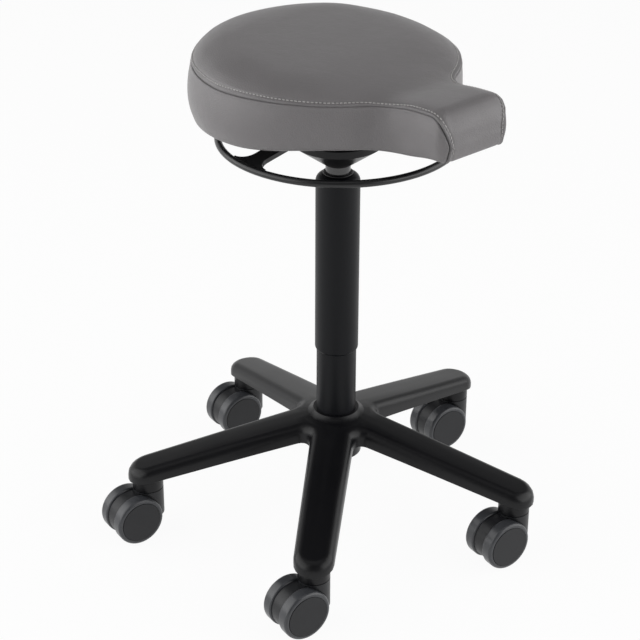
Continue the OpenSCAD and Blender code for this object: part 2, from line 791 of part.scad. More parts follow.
module seat_plate() {
    color(painted_black) difference() {
        translate([0, 0, plate_low_z]) linear_extrude(plate_t) plate_outline();
        translate([0, 0, plate_low_z - cut])
            cylinder(r = lever_hub_r + plate_hole_gap, h = plate_t + 2 * cut);
        for (i = [0:2]) rotate([0, 0, i * third_turn])
            translate([post_circle_r, 0, plate_low_z - cut]) {
                cylinder(d = screw_d + 2 * run_gap, h = plate_t + 2 * cut);
                translate([0, 0, cut + plate_t - screw_head_h])
                    cylinder(r = screw_head_r + run_gap, h = screw_head_h + cut);
            }
        at_corners() translate([0, 0, plate_low_z - cut])
            cylinder(d = screw_d + 2 * run_gap, h = plate_t + 2 * cut);
    }
}

module post_screws() {
    post_screw_len = 18;
    color(steel_grey) for (i = [0:2]) rotate([0, 0, i * third_turn])
        translate([post_circle_r, 0, cover_low_z - run_gap]) {
            translate([0, 0, -screw_head_h + run_gap])
                cylinder(r = screw_head_r, h = screw_head_h - run_gap);
            translate([0, 0, -post_screw_len]) cylinder(d = screw_d, h = post_screw_len - run_gap);
        }
}

module board_screws() {
    color(steel_grey) at_corners() translate([0, 0, plate_low_z]) {
        translate([0, 0, -2 * screw_head_h]) cylinder(r = screw_head_r, h = 2 * screw_head_h);
        translate([0, 0, -cut]) cylinder(d = screw_d, h = plate_t + cover_t + insert_h + cut);
    }
}

// Seat outline: round back, thigh cut-outs and nose, drawn in by d

back_steps = 16;
thigh_steps = 5;
nose_steps = 2;
corner_steps = 3;
least_corner_r = 1;
thigh_x = sqrt(pow(seat_r + thigh_r, 2) - pow(nose_w / 2 + thigh_r, 2));
thigh_angle = atan2(nose_w / 2 + thigh_r, thigh_x);

function seat_half(d, reach) = concat(
    [for (i = [0:back_steps])
        [-seat_back, 0] + polar(seat_r - d, lerp(180, thigh_angle, i / back_steps))],
    [for (i = [1:thigh_steps])
        [thigh_x - seat_back, nose_w / 2 + thigh_r]
            + polar(thigh_r + d, lerp(thigh_angle + 180, 270, i / thigh_steps))],
    [for (i = [1:nose_steps])
        [lerp(thigh_x - seat_back, reach - nose_corner_r, i / nose_steps), nose_w / 2 - d]],
    [for (i = [1:corner_steps])
        [reach - nose_corner_r, nose_w / 2 - nose_corner_r]
            + polar(max(nose_corner_r - d, least_corner_r), 90 - 90 * i / corner_steps)],
    [[max(reach - d, reach - nose_corner_r + least_corner_r), 0]]);
function seat_outline(d, reach) =
    let (half = seat_half(d, reach))
    concat(half, [for (i = [len(half) - 2:-1:1]) [half[i][0], -half[i][1]]]);

// Heights of the seam and of the lower edge at u in front of the column and v to the side
function edge_low_z(u) = seat_low_z + low_climb_share * max(u, -low_level_reach);
function nose_roll_share(u) =
    let (t = min(max((u - nose_reach + nose_roll) / nose_roll, 0), 1))
    lerp(nose_lip_share, 1, sqrt(1 - t * t));
function seam_rise(u, v) = seat_low_z + band_h + nose_rise * pow(u / nose_reach, 2)
    - side_droop * pow(v / seat_r, 2) - edge_low_z(u);
function seam_z(u, v, up) = edge_low_z(u) + nose_roll_share(u) * (seam_rise(u, v) + up);
function seat_point(u, v, z) = [v, -u, z];
function crown_at(u) =
    let (t = min(max((u - crown_fall_from) / (crown_fall_to - crown_fall_from), 0), 1))
    crown_h * lerp(1, nose_crown_share, t * t * (3 - 2 * t));

// Ring of the side band: drawn in by d, at a share of the band's height. It lies closer to the
// seat's outline under the roll at the front of the nose.
function band_ring(d, share) =
    let (flat = seat_outline(0, nose_reach), drawn = seat_outline(d, nose_reach))
    [for (j = [0:len(flat) - 1])
        let (p = lerp(flat[j], drawn[j], nose_roll_share(flat[j][0])))
        seat_point(p[0], p[1], lerp(edge_low_z(p[0]), seam_z(p[0], p[1], 0), share))];
// Ring of the crown: the seam's outline shrunk about the middle of the round part
function crown_ring(share, up_share) = [for (p = seat_outline(0, nose_reach))
    let (u = lerp(-seat_back, p[0], share), v = p[1] * share)
    seat_point(u, v, seam_z(u, v, crown_at(u) * up_share))];
function pocket_ring(top) = [for (p = seat_outline(wrap_w - soft_gap, board_reach + soft_gap))
    seat_point(p[0], p[1], top ? board_top_z + soft_gap : edge_low_z(p[0]))];
crown_shares = [[0.985, 0.26], [0.955, 0.5], [0.9, 0.74], [0.82, 0.92], [0.68, 1], [0.45, 1.02],
    [0.2, 1.03]];
band_shares = [[1, 0], [0.35, 0.12], [-0.55, 0.34], [-1, 0.6], [-0.6, 0.86], [0, 1]];
cushion_rings = concat(
    [pocket_ring(true), pocket_ring(false)],
    [for (s = band_shares) band_ring(s[0] > 0 ? s[0] * band_tuck : s[0] * band_swell, s[1])],
    [for (s = crown_shares) crown_ring(s[0], s[1])]);
seat_n = len(seat_outline(0, nose_reach));

module seat_cushion() {
    count = len(cushion_rings);
    points = concat([for (r = cushion_rings) each r],
        [[0, seat_back, board_top_z + soft_gap],
            [0, seat_back, seam_z(-seat_back, 0, crown_h * crown_shares[len(crown_shares) - 1][1])]]);
    last = (count - 1) * seat_n;
    color(leather_grey) polyhedron(points, concat(
        [for (j = [0:seat_n - 1]) [(j + 1) % seat_n, j, count * seat_n]],
        skin_faces(count, seat_n),
        [for (j = [0:seat_n - 1]) [last + j, last + (j + 1) % seat_n, count * seat_n + 1]]));
}

module board_outline(d) {
    polygon([for (p = seat_outline(wrap_w + d, board_reach - d)) [p[1], -p[0]]]);
}

module seat_board() {
    color(plywood_tan) difference() {
        translate([0, 0, board_low_z]) linear_extrude(board_t) board_outline(0);
        at_corners() translate([0, 0, board_low_z - cut])
            cylinder(d = screw_d + 2 * run_gap, h = insert_h + cut + soft_gap);
    }
}

module under_cover() {
    color(cloth_black) difference() {
        translate([0, 0, cover_low_z]) linear_extrude(cover_t) board_outline(cover_inset);
        at_corners() translate([0, 0, cover_low_z - cut])
            cylinder(d = screw_d + 2 * run_gap, h = cover_t + 2 * cut);
    }
}

// Castors: stems stay in the base, everything else turns about them

stem_neck_step = 1;
stem_neck_r = stem_d / 2 - stem_neck_step;
stem_lift = 4;
stem_low_z = axle_z + stem_lift;
collar_r = 9;
grip_share = 0.7;
grip_z = boss_low_z + grip_share * socket_depth;
grip_d = 1.6;
stem_tip_gap = 1.5;

module castor_stems() {
    color(steel_grey) for (i = [1:arm_count]) at_arm(i) translate([castor_circle_r, 0, 0])
        turned() difference() {
            union() {
                band(0, stem_neck_r, stem_low_z, housing_top_z + cut / 2);
                band(0, collar_r, housing_top_z + run_gap, boss_low_z);
                band(0, stem_d / 2, boss_low_z - cut / 2, socket_top_z - stem_tip_gap);
            }
            translate([stem_d / 2, grip_z]) circle(d = grip_d + 2 * run_gap);
        }
}

module stem_grip_rings() {
    color(steel_grey) for (i = [1:arm_count]) at_arm(i) translate([castor_circle_r, 0, 0])
        difference() {
            turned() intersection() {
                translate([stem_d / 2, grip_z]) circle(d = grip_d);
                band(0, stem_d / 2 + run_gap / 2, grip_z - grip_d, grip_z + grip_d);
            }
            translate([0, -grip_d, grip_z - grip_d]) cube([stem_d, 2 * grip_d, 2 * grip_d]);
        }
}

module at_castor(i) {
    rotate([0, 0, arm_turn + arm_step * (i - 1)]) translate([castor_circle_r, 0, 0])
        rotate([0, 0, castor_turn - arm_turn - arm_step * (i - 1)]) children();
}

// Turns a section whose height runs along the axle, on the left or the right wheel
module on_axle(side) {
    translate([castor_trail, 0, axle_z]) rotate([-90 * side, 0, 0]) rotate_extrude() children();
}

hood_inset = 2;
hood_r = wheel_r - hood_inset;
hood_t = 3;
hood_web_t = 6;
hood_end_angle = -32;
hood_start_angle = 168;
axle_boss_r = 8;
wheel_gap = 0.5;
housing_drop = 4;
housing_low_z = axle_z - housing_drop;

// Sector round the axle, seen from the side, that holds the hood
module hood_sector() {
    steps = 8;
    polygon(concat([[0, 0]], [for (i = [0:steps])
        polar(2 * wheel_r, lerp(hood_end_angle, hood_start_angle, i / steps))]));
}

module castor_housing(i) {
    color(disc_grey) at_castor(i) difference() {
        union() {
            difference() {
                translate([0, 0, housing_low_z])
                    cylinder(d = housing_d, h = housing_top_z - housing_low_z);
                for (side = [-1, 1]) translate([castor_trail, side * hood_w / 2, axle_z])
                    rotate([-90 * side, 0, 0]) cylinder(r = wheel_r + wheel_gap, h = housing_d);
            }
            translate([castor_trail, hood_w / 2, axle_z]) rotate([90, 0, 0]) {
                linear_extrude(hood_w) intersection() {
                    hood_sector();
                    difference() {
                        circle(hood_r);
                        circle(hood_r - hood_t);
                    }
                }
                translate([0, 0, (hood_w - hood_web_t) / 2]) linear_extrude(hood_web_t)
                    intersection() {
                        hood_sector();
                        circle(hood_r - hood_t / 2);
                    }
                cylinder(r = axle_boss_r, h = hood_w);
            }
        }
        translate([0, 0, housing_low_z - cut])
            cylinder(r = stem_neck_r + run_gap, h = housing_top_z - housing_low_z + 2 * cut);
        translate([castor_trail, hood_w, axle_z]) rotate([90, 0, 0])
            cylinder(d = axle_d + run_gap, h = 2 * hood_w);
    }
}

axle_end_gap = 3.5;
axle_end_play = 1;
wheel_hub_wall = 3;
disc_edge_y = castor_w / 2;
wheel_inner_y = hood_w / 2 + wheel_gap;
rim_step = 0.6;
rim_r = disc_r + rim_step;
rim_t = 2.4;
rim_inset = 1;
face_t = 2.2;
web_t = 2.1;
face_step_y = disc_edge_y - face_t / 2;
groove_w = 0.5;
tread_round_r = 3.6;
tread_inner_round_r = 2.2;

module castor_axle(i) {
    length = castor_w - 2 * axle_end_gap;
    color(steel_grey) at_castor(i) translate([castor_trail, length / 2, axle_z])
        rotate([90, 0, 0]) cylinder(d = axle_d, h = length);
}

// Disc, rim and hub of one wheel, a single moulding that carries the tyre
module castor_disc(i, side) {
    bore_r = axle_d / 2 + run_gap;
    color(disc_grey) at_castor(i) on_axle(side) difference() {
        union() {
            band(bore_r, axle_d / 2 + wheel_hub_wall, wheel_inner_y, face_step_y);
            band(0, disc_r, disc_edge_y - face_t, disc_edge_y);
            band(rim_r - rim_t, rim_r, wheel_inner_y + rim_inset, face_step_y);
            band(0, rim_r, face_step_y - web_t, face_step_y);
        }
        band(0, bore_r, wheel_inner_y - cut, disc_edge_y - axle_end_gap + axle_end_play);
    }
}

module castor_tyre(i, side) {
    groove_r = disc_r + groove_w;
    inner_y = wheel_inner_y + 2 * run_gap;
    face_y = disc_edge_y - groove_w;
    color(tyre_grey) at_castor(i) on_axle(side) difference() {
        union() {
            band(disc_r, wheel_r - tread_round_r, inner_y, face_y);
            band(disc_r, wheel_r - tread_inner_round_r, inner_y, face_y - tread_round_r);
            band(disc_r, wheel_r, inner_y + tread_inner_round_r, face_y - tread_round_r);
            translate([wheel_r - tread_inner_round_r, inner_y + tread_inner_round_r])
                circle(tread_inner_round_r);
            translate([wheel_r - tread_round_r, face_y - tread_round_r]) circle(tread_round_r);
        }
        band(0, rim_r + run_gap, inner_y - cut, face_step_y + run_gap);
        band(0, groove_r, face_step_y, disc_edge_y);
    }
}

star_base();
column_tube();
guide_bush();
foot_washer();
bearing_lower_race();
castor_stems();
stem_grip_rings();
piston_rod();
piston();
bearing_cage();
bearing_balls();
bearing_upper_race();
bump_stop();
rod_clip();
gas_cylinder();
rod_guide();
seat_socket();
pivot_pin();
seat_plate();
post_screws();
board_screws();
under_cover();
seat_board();
seat_cushion();
ring_lever();
release_pin();
for (i = [1:arm_count]) {
    castor_housing(i);
    castor_axle(i);
    castor_disc(i, 1);
    castor_disc(i, -1);
    castor_tyre(i, 1);
    castor_tyre(i, -1);
}
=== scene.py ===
# Saddle stool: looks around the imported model. Lengths are metres.
import json
import math

import bpy
import numpy as np
from mathutils import Matrix, Vector, geometry, kdtree

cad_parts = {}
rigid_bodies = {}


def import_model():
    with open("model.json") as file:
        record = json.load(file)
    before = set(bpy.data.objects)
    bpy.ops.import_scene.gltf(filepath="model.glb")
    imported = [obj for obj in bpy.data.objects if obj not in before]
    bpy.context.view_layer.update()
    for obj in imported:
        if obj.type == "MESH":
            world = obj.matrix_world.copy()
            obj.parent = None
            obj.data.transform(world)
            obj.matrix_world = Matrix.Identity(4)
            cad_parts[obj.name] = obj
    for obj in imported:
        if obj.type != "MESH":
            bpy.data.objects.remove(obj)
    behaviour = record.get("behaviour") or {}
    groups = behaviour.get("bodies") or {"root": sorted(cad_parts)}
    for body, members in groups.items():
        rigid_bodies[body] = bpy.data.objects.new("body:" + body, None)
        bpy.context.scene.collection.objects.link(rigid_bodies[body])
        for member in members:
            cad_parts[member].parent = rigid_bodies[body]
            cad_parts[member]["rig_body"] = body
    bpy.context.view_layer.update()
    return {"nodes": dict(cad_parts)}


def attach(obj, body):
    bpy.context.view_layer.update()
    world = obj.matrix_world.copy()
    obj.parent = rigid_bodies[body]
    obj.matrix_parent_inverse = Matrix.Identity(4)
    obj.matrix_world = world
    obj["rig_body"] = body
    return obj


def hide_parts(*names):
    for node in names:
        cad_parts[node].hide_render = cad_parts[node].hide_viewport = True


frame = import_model()
nodes = frame["nodes"]
print("frame loaded:", len(nodes), "nodes")


# Small helpers

mergeDistance = 1e-6  # corners closer than this are one


def deselectAll():
    if bpy.context.object and bpy.context.object.mode != "OBJECT":
        bpy.ops.object.mode_set(mode="OBJECT")
    bpy.ops.object.select_all(action="DESELECT")


def pick(piece):
    deselectAll()
    piece.select_set(True)
    bpy.context.view_layer.objects.active = piece


def editAll(piece):
    # edit mode with the whole mesh selected
    pick(piece)
    bpy.ops.object.mode_set(mode="EDIT")
    bpy.ops.mesh.select_all(action="SELECT")


def applyModifiers(piece):
    pick(piece)
    for modifier in list(piece.modifiers):
        bpy.ops.object.modifier_apply(modifier=modifier.name)


def newPiece(name, mesh):
    piece = bpy.data.objects.new(name, mesh)
    bpy.context.scene.collection.objects.link(piece)
    return piece


def mergedCopy(nodeName, name):
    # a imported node's triangles, with their doubles merged
    piece = newPiece(name, nodes[nodeName].data.copy())
    piece.data.materials.clear()
    editAll(piece)
    bpy.ops.mesh.remove_doubles(threshold=mergeDistance)
    bpy.ops.object.mode_set(mode="OBJECT")
    return piece


def kindOf(nodeName):
    # castor_3_tyre_left is a tyre, and any other node is its own kind
    words = nodeName.split("_")
    return words[2] if words[0] == "castor" and words[1].isdigit() else nodeName


# Camera

cameraView = {"place": (-1.2367, -1.3496, 1.2309), "azimuth": (0.6756, 0.7373), "downDeg": 26.95,
              "rollDeg": 0.52, "focalPixels": 1803.85, "centrePixels": (336.99, 286.26),
              "picturePixels": 640, "sensorWidth": 36, "clipEnd": 50}


def makeCamera():
    c = cameraView
    down = math.radians(c["downDeg"])
    look = Vector((c["azimuth"][0] * math.cos(down), c["azimuth"][1] * math.cos(down), -math.sin(down)))
    bpy.ops.object.camera_add(location=c["place"])
    camera = bpy.context.object
    camera.name = "camera"
    camera.rotation_mode = "QUATERNION"
    roll = Matrix.Rotation(math.radians(c["rollDeg"]), 3, "Z").to_quaternion()
    camera.rotation_quaternion = look.to_track_quat("-Z", "Y") @ roll
    camera.data.sensor_width = c["sensorWidth"]
    camera.data.lens = c["focalPixels"] / c["picturePixels"] * c["sensorWidth"]
    half = c["picturePixels"] / 2
    camera.data.shift_x = (half - c["centrePixels"][0]) / c["picturePixels"]
    camera.data.shift_y = (c["centrePixels"][1] - half) / c["picturePixels"]
    camera.data.clip_end = c["clipEnd"]
    bpy.context.scene.camera = camera


makeCamera()
bpy.context.scene.view_settings.view_transform = "Standard"
print("camera set")


# Node helpers for the materials

class Nodes:
    def __init__(self, tree):
        self.tree = tree

    def add(self, kind, **values):
        node = self.tree.nodes.new(kind)
        for key, value in values.items():
            setattr(node, key, value)
        return node

    def link(self, a, b):
        self.tree.links.new(a, b)


def objectPlace(t):
    return t.add("ShaderNodeTexCoord").outputs["Object"]


def addTexture(t, kind, place, scale, **values):
    texture = t.add(kind, **values)
    texture.inputs["Scale"].default_value = scale
    t.link(place, texture.inputs["Vector"])
    return texture


def addBump(t, height, strength, depth, under=None):
    # the normal that a height gives, laid over an earlier normal where there is one
    bump = t.add("ShaderNodeBump")
    bump.inputs["Strength"].default_value = strength
    bump.inputs["Distance"].default_value = depth
    t.link(height, bump.inputs["Height"])
    if under is not None:
        t.link(under, bump.inputs["Normal"])
    return bump.outputs["Normal"]


def makeGroup(name, inputs, outputs):
    group = bpy.data.node_groups.new(name, "ShaderNodeTree")
    for label, kind, value in inputs:
        socket = group.interface.new_socket(label, in_out="INPUT", socket_type=kind)
        socket.default_value = value
    for label, kind in outputs:
        group.interface.new_socket(label, in_out="OUTPUT", socket_type=kind)
    tools = Nodes(group)
    return group, tools, tools.add("NodeGroupInput"), tools.add("NodeGroupOutput")


# what the groups have in common for all finishes; a ridge is told by the surface's pointiness
groupLook = {"noiseMiddle": 0.5, "driftDetail": 4, "pebbleDetail": 2,
             "ridgeFrom": 0.52, "ridgeTo": 0.62, "ridgeBreakScale": 60}


def makeDriftGroup():
    # slow drift of a colour and its roughness, as on any real surface
    group, t, start, end = makeGroup(
        "surfaceDrift",
        [("Color", "NodeSocketColor", (0.5, 0.5, 0.5, 1)), ("Scale", "NodeSocketFloat", 10.0),
         ("Amount", "NodeSocketFloat", 0.1), ("Roughness", "NodeSocketFloat", 0.5),
         ("Rough Amount", "NodeSocketFloat", 0.1)],
        [("Color", "NodeSocketColor"), ("Roughness", "NodeSocketFloat")])
    noise = t.add("ShaderNodeTexNoise")
    noise.inputs["Detail"].default_value = groupLook["driftDetail"]
    t.link(objectPlace(t), noise.inputs["Vector"])
    t.link(start.outputs["Scale"], noise.inputs["Scale"])
    centred = t.add("ShaderNodeMath", operation="SUBTRACT")
    centred.inputs[1].default_value = groupLook["noiseMiddle"]
    t.link(noise.outputs["Fac"], centred.inputs[0])
    shade = t.add("ShaderNodeMath", operation="MULTIPLY_ADD")
    shade.inputs[2].default_value = 1
    t.link(centred.outputs[0], shade.inputs[0])
    t.link(start.outputs["Amount"], shade.inputs[1])
    tint = t.add("ShaderNodeVectorMath", operation="SCALE")
    t.link(start.outputs["Color"], tint.inputs[0])
    t.link(shade.outputs[0], tint.inputs["Scale"])
    t.link(tint.outputs[0], end.inputs["Color"])
    rough = t.add("ShaderNodeMath", operation="MULTIPLY_ADD")
    t.link(centred.outputs[0], rough.inputs[0])
    t.link(start.outputs["Rough Amount"], rough.inputs[1])
    t.link(start.outputs["Roughness"], rough.inputs[2])
    t.link(rough.outputs[0], end.inputs["Roughness"])
    return group


def makePebbleGroup():
    # fine pebble of a moulded or coated surface, as a height
    group, t, start, end = makeGroup(
        "finePebble",
        [("Scale", "NodeSocketFloat", 900.0), ("Softness", "NodeSocketFloat", 0.6)],
        [("Height", "NodeSocketFloat")])
    place = objectPlace(t)
    noise = t.add("ShaderNodeTexNoise")
    noise.inputs["Detail"].default_value = groupLook["pebbleDetail"]
    cells = t.add("ShaderNodeTexVoronoi", feature="F1")
    for texture in (noise, cells):
        t.link(place, texture.inputs["Vector"])
        t.link(start.outputs["Scale"], texture.inputs["Scale"])
    mix = t.add("ShaderNodeMix", data_type="FLOAT")
    t.link(start.outputs["Softness"], mix.inputs["Factor"])
    t.link(cells.outputs["Distance"], mix.inputs["A"])
    t.link(noise.outputs["Fac"], mix.inputs["B"])
    t.link(mix.outputs["Result"], end.inputs["Height"])
    return group


def makeWearGroup():
    # lighter, slightly rubbed edges
    group, t, start, end = makeGroup(
        "rubbedEdge",
        [("Color", "NodeSocketColor", (0.02, 0.02, 0.02, 1)),
         ("Edge Color", "NodeSocketColor", (0.1, 0.1, 0.1, 1)), ("Amount", "NodeSocketFloat", 0.4)],
        [("Color", "NodeSocketColor")])
    noise = addTexture(t, "ShaderNodeTexNoise", objectPlace(t), groupLook["ridgeBreakScale"])
    ridge = t.add("ShaderNodeMapRange")
    ridge.inputs["From Min"].default_value = groupLook["ridgeFrom"]
    ridge.inputs["From Max"].default_value = groupLook["ridgeTo"]
    t.link(t.add("ShaderNodeNewGeometry").outputs["Pointiness"], ridge.inputs["Value"])
    broken = t.add("ShaderNodeMath", operation="MULTIPLY")
    t.link(ridge.outputs["Result"], broken.inputs[0])
    t.link(noise.outputs["Fac"], broken.inputs[1])
    mask = t.add("ShaderNodeMath", operation="MULTIPLY", use_clamp=True)
    t.link(broken.outputs[0], mask.inputs[0])
    t.link(start.outputs["Amount"], mask.inputs[1])
    mix = t.add("ShaderNodeMix", data_type="RGBA")
    t.link(mask.outputs[0], mix.inputs["Factor"])
    t.link(start.outputs["Color"], mix.inputs["A"])
    t.link(start.outputs["Edge Color"], mix.inputs["B"])
    t.link(mix.outputs["Result"], end.inputs["Color"])
    return group


driftGroup = makeDriftGroup()
pebbleGroup = makePebbleGroup()
wearGroup = makeWearGroup()


def addGroup(t, group, **values):
    node = t.add("ShaderNodeGroup")
    node.node_tree = group
    for key, value in values.items():
        node.inputs[key.replace("_", " ")].default_value = value
    return node


def addDrift(t, look, shader):
    # the drift of a look's colour and roughness, with its roughness going to the shader
    drift = addGroup(t, driftGroup, Color=(*look["colour"], 1), Scale=look["driftScale"],
                     Amount=look["drift"], Roughness=look["roughness"], Rough_Amount=look["roughDrift"])
    t.link(drift.outputs["Roughness"], shader.inputs["Roughness"])
    return drift


def newMaterial(name, look):
    material = bpy.data.materials.new(name)
    material.use_nodes = True
    shader = material.node_tree.nodes["Principled BSDF"]
    shader.inputs["Base Color"].default_value = (*look["colour"], 1)
    shader.inputs["Roughness"].default_value = look["roughness"]
    shader.inputs["Specular IOR Level"].default_value = look["specular"]
    return material, Nodes(material.node_tree), shader


# Moulded, painted, rubber and metal finishes: a finish gives what differs from the common values

finishCommon = {"metallic": 0.0, "specular": 0.5, "driftScale": 14.0, "drift": 0.25, "roughDrift": 0.12,
                "wear": 0.5, "softness": 0.6, "grainDepth": 0.0003}
finishes = {
    "mouldedBlack": {"colour": (0.0034, 0.0034, 0.0044), "edge": (0.012, 0.012, 0.013), "roughness": 0.33,
                     "specular": 0.28, "grainScale": 1500.0, "grain": 0.12},
    "columnBlack": {"colour": (0.0026, 0.003, 0.0044), "edge": (0.02, 0.02, 0.024), "roughness": 0.42,
                    "specular": 0.2, "grainScale": 2200.0, "grain": 0.08, "drift": 0.15},
    "neckBlack": {"colour": (0.012, 0.012, 0.013), "edge": (0.05, 0.05, 0.052), "roughness": 0.2,
                  "specular": 0.9, "grainScale": 2600.0, "grain": 0.03, "drift": 0.1},
    "leverBlack": {"colour": (0.006, 0.006, 0.007), "edge": (0.03, 0.03, 0.03), "roughness": 0.3,
                   "grainScale": 1800.0, "grain": 0.05},
    "castorGrey": {"colour": (0.0095, 0.01, 0.0118), "edge": (0.06, 0.06, 0.065), "roughness": 0.4,
                   "specular": 0.35, "grainScale": 2000.0, "grain": 0.12},
    "tyreGrey": {"colour": (0.042, 0.044, 0.049), "edge": (0.09, 0.09, 0.095), "roughness": 0.3,
                 "grainScale": 1200.0, "grain": 0.1, "drift": 0.3},
    "rubberBlack": {"colour": (0.02, 0.02, 0.02), "edge": (0.04, 0.04, 0.04), "roughness": 0.75,
                    "specular": 0.3, "grainScale": 900.0, "grain": 0.2},
    "brightSteel": {"colour": (0.55, 0.55, 0.56), "edge": (0.7, 0.7, 0.7), "roughness": 0.28,
                    "metallic": 1.0, "grainScale": 2500.0, "grain": 0.04},
    "turnedBrass": {"colour": (0.6, 0.42, 0.18), "edge": (0.75, 0.6, 0.3), "roughness": 0.3,
                    "metallic": 1.0, "grainScale": 2500.0, "grain": 0.04},
}


def coatedMaterial(name, look):
    # drift, rubbed edges and a fine pebble
    material, t, shader = newMaterial(name, look)
    shader.inputs["Metallic"].default_value = look["metallic"]
    drift = addDrift(t, look, shader)
    wear = addGroup(t, wearGroup, Color=(*look["colour"], 1), Edge_Color=(*look["edge"], 1),
                    Amount=look["wear"])
    t.link(wear.outputs["Color"], drift.inputs["Color"])
    t.link(drift.outputs["Color"], shader.inputs["Base Color"])
    pebble = addGroup(t, pebbleGroup, Scale=look["grainScale"], Softness=look["softness"])
    normal = addBump(t, pebble.outputs["Height"], look["grain"], look["grainDepth"])
    t.link(normal, shader.inputs["Normal"])
    return material


mats = {name: coatedMaterial(name, {**finishCommon, **finish}) for name, finish in finishes.items()}
print("coated finishes made:", len(mats))


plywoodLook = {"colour": (0.5, 0.34, 0.19), "darkLayer": (0.34, 0.2, 0.1), "paleLayer": (0.58, 0.42, 0.25),
               "roughness": 0.6, "specular": 0.5, "layerScale": 200, "layerWobble": 0.6,
               "driftScale": 40.0, "drift": 0.5, "roughDrift": 0.2,
               "grainScale": 90, "grain": 0.3, "grainDepth": 0.0004}


def plywoodMaterial():
    look = plywoodLook
    material, t, shader = newMaterial("beechPly", look)
    place = objectPlace(t)
    layers = addTexture(t, "ShaderNodeTexWave", place, look["layerScale"],
                        wave_type="BANDS", bands_direction="Z")
    layers.inputs["Distortion"].default_value = look["layerWobble"]
    mix = t.add("ShaderNodeMix", data_type="RGBA")
    mix.inputs["A"].default_value = (*look["darkLayer"], 1)
    mix.inputs["B"].default_value = (*look["paleLayer"], 1)
    t.link(layers.outputs["Fac"], mix.inputs["Factor"])
    drift = addDrift(t, look, shader)
    t.link(mix.outputs["Result"], drift.inputs["Color"])
    t.link(drift.outputs["Color"], shader.inputs["Base Color"])
    grain = addTexture(t, "ShaderNodeTexNoise", place, look["grainScale"])
    t.link(addBump(t, grain.outputs["Fac"], look["grain"], look["grainDepth"]), shader.inputs["Normal"])
    return material


coverLook = {"colour": (0.018, 0.018, 0.02), "roughness": 0.9, "specular": 0.2, "sheen": 0.3,
             "driftScale": 300.0, "drift": 0.8, "roughDrift": 0.1,
             "fibreScale": 700, "fibreDetail": 6, "fibre": 0.6, "fibreDepth": 0.0005}


def coverClothMaterial():
    # felted black dust cover
    look = coverLook
    material, t, shader = newMaterial("dustCover", look)
    shader.inputs["Sheen Weight"].default_value = look["sheen"]
    t.link(addDrift(t, look, shader).outputs["Color"], shader.inputs["Base Color"])
    fibre = addTexture(t, "ShaderNodeTexNoise", objectPlace(t), look["fibreScale"])
    fibre.inputs["Detail"].default_value = look["fibreDetail"]
    t.link(addBump(t, fibre.outputs["Fac"], look["fibre"], look["fibreDepth"]), shader.inputs["Normal"])
    return material


# the seam colour and its nearer distance paint the shade in the seam's groove as a dark line
leatherLook = {"colour": (0.168, 0.160, 0.163), "roughness": 0.4, "specular": 0.4,
               "coat": 0.04, "coatRoughness": 0.3, "driftScale": 9.0, "drift": 0.22, "roughDrift": 0.25,
               "seamColour": (0.03, 0.029, 0.029), "seamDark": 0.00025, "seamEnd": 0.0008,
               "warpScale": 140, "warp": 0.004, "pebbleScale": 430.0, "pebbleRound": 0.35,
               "pebble": 0.55, "pebbleDepth": 0.00025,
               "creaseScale": 55, "creaseDetail": 5, "crease": 0.3, "creaseDepth": 0.002}


def leatherMaterial():
    look = leatherLook
    material, t, shader = newMaterial("greyLeather", look)
    shader.inputs["Coat Weight"].default_value = look["coat"]
    shader.inputs["Coat Roughness"].default_value = look["coatRoughness"]
    place = objectPlace(t)
    drift = addDrift(t, look, shader)
    # painted shade: the sewn line is painted dark, standing in for the shade in its groove, out to the nearer
    # seam distance, and is leather again from the farther one
    seam = t.add("ShaderNodeAttribute", attribute_name="seamDistance")
    near = t.add("ShaderNodeMath", operation="ABSOLUTE")
    t.link(seam.outputs["Fac"], near.inputs[0])
    seamShadeFade = t.add("ShaderNodeMapRange", clamp=True)
    seamShadeFade.inputs["From Min"].default_value = look["seamDark"]
    seamShadeFade.inputs["From Max"].default_value = look["seamEnd"]
    t.link(near.outputs[0], seamShadeFade.inputs["Value"])
    line = t.add("ShaderNodeMix", data_type="RGBA")
    line.inputs["A"].default_value = (*look["seamColour"], 1)
    t.link(seamShadeFade.outputs["Result"], line.inputs["Factor"])
    t.link(drift.outputs["Color"], line.inputs["B"])
    t.link(line.outputs["Result"], shader.inputs["Base Color"])
    # pebble of slightly warped cells, and broad creases over it
    warp = addTexture(t, "ShaderNodeTexNoise", place, look["warpScale"])
    shifted = t.add("ShaderNodeVectorMath", operation="MULTIPLY_ADD")
    shifted.inputs[1].default_value = (look["warp"],) * 3
    t.link(warp.outputs["Color"], shifted.inputs[0])
    t.link(place, shifted.inputs[2])
    cells = addTexture(t, "ShaderNodeTexVoronoi", shifted.outputs[0], look["pebbleScale"],
                       feature="DISTANCE_TO_EDGE")
    flat = t.add("ShaderNodeMapRange", clamp=True)
    flat.inputs["From Max"].default_value = look["pebbleRound"]
    t.link(cells.outputs["Distance"], flat.inputs["Value"])
    crease = addTexture(t, "ShaderNodeTexNoise", place, look["creaseScale"])
    crease.inputs["Detail"].default_value = look["creaseDetail"]
    fine = addBump(t, flat.outputs["Result"], look["pebble"], look["pebbleDepth"])
    broad = addBump(t, crease.outputs["Fac"], look["crease"], look["creaseDepth"], under=fine)
    t.link(broad, shader.inputs["Normal"])
    return material


threadLook = {"colour": (0.46, 0.45, 0.44), "roughness": 0.7, "specular": 0.3, "sheen": 0.2,
              "driftScale": 200.0, "drift": 0.3, "twistScale": 900, "twist": 0.5, "twistDepth": 0.0002}


